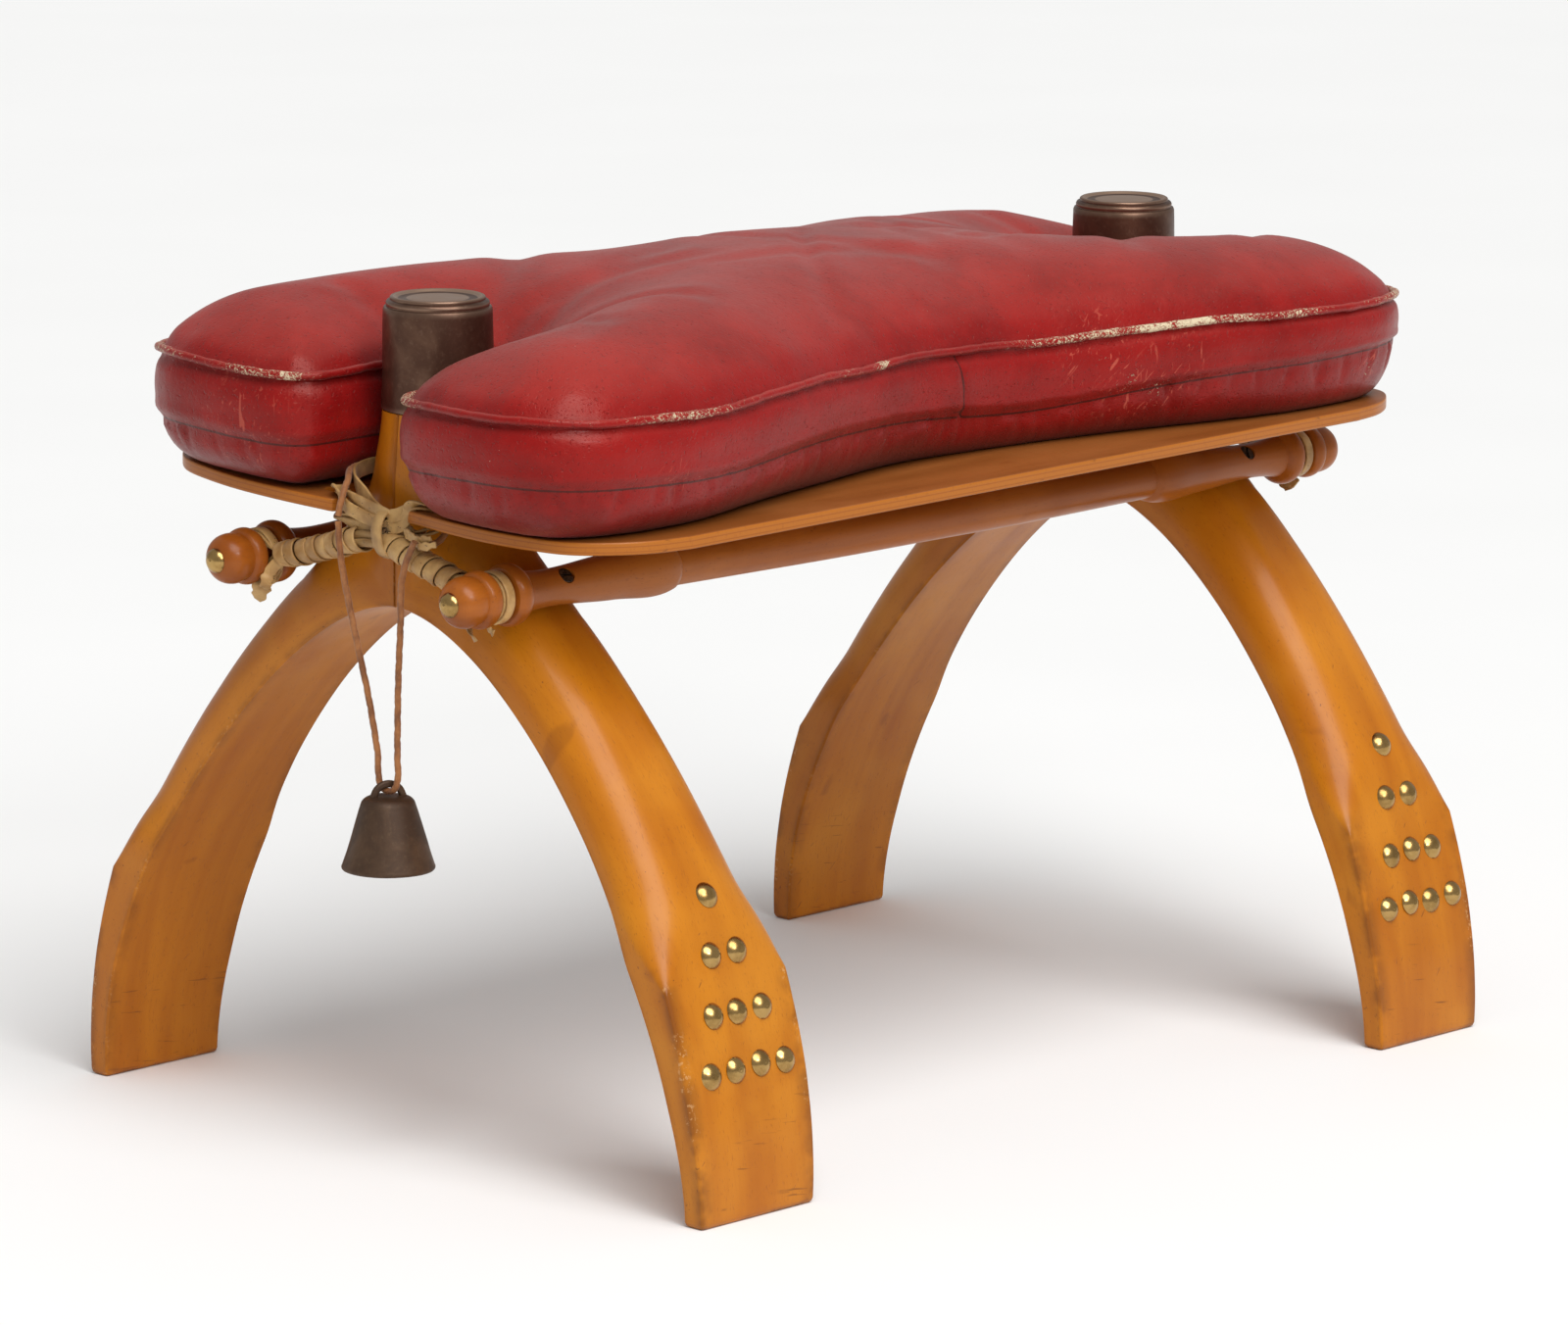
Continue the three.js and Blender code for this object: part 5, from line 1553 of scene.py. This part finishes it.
def twisted_cord(route):
    """A rolled strip of leather, twisted: a round section with one deep helical groove."""
    path = spline(route, 420)
    reach = length_along(path)
    turn = turn_steps(18)
    phase = turn[None] + (reach / TWIST_PITCH * 2 * math.pi)[:, None]
    groove = 0.15 * np.abs(np.cos(phase / 2)) ** 14
    radius = CORD_R * (1 - groove + 0.02 * np.sin(3 * phase + reach[:, None] / 3))
    return sweep(path, radius[..., None] * circle(18)[None]), path, reach[-1]


def make_cord(name, route, body, material):
    shell, path, length = twisted_cord(route)
    obj = new_object(name + "_twisted", shell)
    dress(obj, body, material, [name], 60)


BELL_SHOULDER_Z = 182
BELL_HEIGHT = 35.5
LOOP_TURN = math.radians(-26)
CLAPPER_PIVOT_Z = 176.8


def bell_shell():
    top, rim = BELL_SHOULDER_Z, BELL_SHOULDER_Z - BELL_HEIGHT
    outer = spline([
        (0, top + 0.5), (8, top + 0.2), (11.2, top - 0.5), (12.8, top - 2), (13.8, top - 4.6),
        (15.8, top - 11), (18.4, top - 20), (20.8, top - 28.4), (22.3, rim + 2.4), (22.7, rim + 1),
        (22.2, rim + 0.1), (20.9, rim + 0.2),
    ], 80)
    inner = spline([
        (20.1, rim + 1.4), (19.1, top - 30), (17.1, top - 23), (14.1, top - 12), (11.4, top - 3.8),
        (8, top - 2.3), (0, top - 2),
    ], 30)
    return lathe(np.vstack([outer, inner]), 96, hammered)


def hammered(turn, z):
    return 0.16 * np.sin(2 * turn + z / 9) + 0.09 * np.sin(5 * turn - z / 5)


def bell_handle():
    """A flat hoop on the bell's shoulder, turned a little out of the cord's plane."""
    foot, centre = BELL_SHOULDER_Z - 1.4, BELL_LOOP_Z - 7.2
    bend = np.linspace(0.3, math.pi - 0.3, 9)
    reach = [7.6, 7.6, *(7.3 * np.cos(bend)), -7.6, -7.6]
    heights = [foot, centre, *(centre + 7.2 * np.sin(bend)), centre, foot]
    across = np.array([math.cos(LOOP_TURN), math.sin(LOOP_TURN)])
    hoop = np.column_stack([np.outer(reach, across), heights])
    return sweep(spline(hoop, 50), rounded_box(3.6, 2.8, 1.2, 4), False, (-across[1], across[0], 0.0))


def make_bell(material):
    """The bell with its handle, and the staple inside that carries the clapper."""
    bend = np.linspace(0, math.pi, 9)
    staple = [(0, 3.8 * math.cos(a), BELL_SHOULDER_Z - 1.4 - 3.8 * math.sin(a)) for a in bend]
    shell = merged([bell_shell(), bell_handle(), sweep(spline(staple, 24), 0.8 * circle(10))])
    obj = new_object("bell_cast", moved(shell, BELL_X, BELL_Y))
    dress(obj, "hanging_bell", material, ["bell"], 42)


def make_clapper(material):
    pivot = CLAPPER_PIVOT_Z
    eye = [(2.3 * c, 0, pivot - 0.7 + 2.3 * s) for c, s in circle(16)]
    turn = np.linspace(0, 5.6, 9)
    wire = 0.7 * np.stack([np.cos(turn), np.sin(turn)], axis=1)
    ring = sweep(spline(eye, 36, True), wire, True, (0, 1, 0))
    stem = lathe([(0, pivot - 2.6), (0.9, pivot - 2.7), (0.85, 160), (1.0, 152.6), (0, 152.4)], 20)
    ball = [(0, 152.3), (1.6, 151.9), (3.4, 150.5), (4.2, 148), (3.6, 145.6), (1.8, 144.0), (0, 143.7)]
    shell = merged([ring, stem, lathe(spline(ball, 26), 36)])
    obj = new_object("bell_clapper_cast", moved(shell, BELL_X, BELL_Y))
    dress(obj, "clapper", material, ["bell_clapper"], 42)


# ---- setting

FLOOR_REACH = 9000
WORLD_STRENGTH = 0.42
KEY_PLACE = (-0.9, -2.6, 1.9)
KEY_TARGET = (0, 0, 0.25)


def add_light(kind, name, energy, towards, place=(0, 0, 0), **settings):
    data = bpy.data.lights.new(name, kind)
    data.energy = energy
    for key, value in settings.items():
        setattr(data, key, value)
    lamp = bpy.data.objects.new(name, data)
    lamp.location = place
    lamp.rotation_euler = Vector(towards).to_track_quat("-Z", "Y").to_euler()
    SCENE.collection.objects.link(lamp)


def make_setting():
    corner = np.array([(-1, -1, 0), (1, -1, 0), (1, 1, 0), (-1, 1, 0)], float)
    floor = new_object("floor", (FLOOR_REACH * corner, [(0, 1, 2, 3)]))
    floor.data.materials.append(floor_paint())
    world = bpy.data.worlds.new("studio")
    world.use_nodes = True
    background = world.node_tree.nodes["Background"].inputs
    background["Color"].default_value = (1, 1, 1, 1)
    background["Strength"].default_value = WORLD_STRENGTH
    SCENE.world = world
    add_light("SUN", "sun", 2.4, (0.22, 0.56, -1.0), angle=math.radians(44))
    aim = Vector(KEY_TARGET) - Vector(KEY_PLACE)
    add_light("AREA", "key", 22, aim, KEY_PLACE, shape="RECTANGLE", size=0.9, size_y=0.5)
    SCENE.view_settings.view_transform = "Standard"


# ---- assembly

def make_all():
    make_camera()
    thong = cord_leather()
    make_cord("bell_cord", bell_cord_route(), "hanging_cord", thong)
    make_cord("bell_cord_hitch", HITCH_ROUTE, "frame", thong)
    make_arches(beech())
    make_rods(beech_rod())
    make_screws(screw_steel())
    brass = antique_brass()
    make_finial_domes(brass)
    make_nails(brass)
    make_caps(cap_brass())
    make_boards(plywood())
    make_lashings(rawhide())
    bronze = bell_bronze()
    make_bell(bronze)
    make_clapper(bronze)
    make_cushion()
    pin = dowel_wood()
    for end in ENDS:
        for level in ("lower", "upper"):
            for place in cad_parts[f"arch_dowel_{end}_{level}"].material_slots:
                place.material = pin
    make_setting()


make_all()
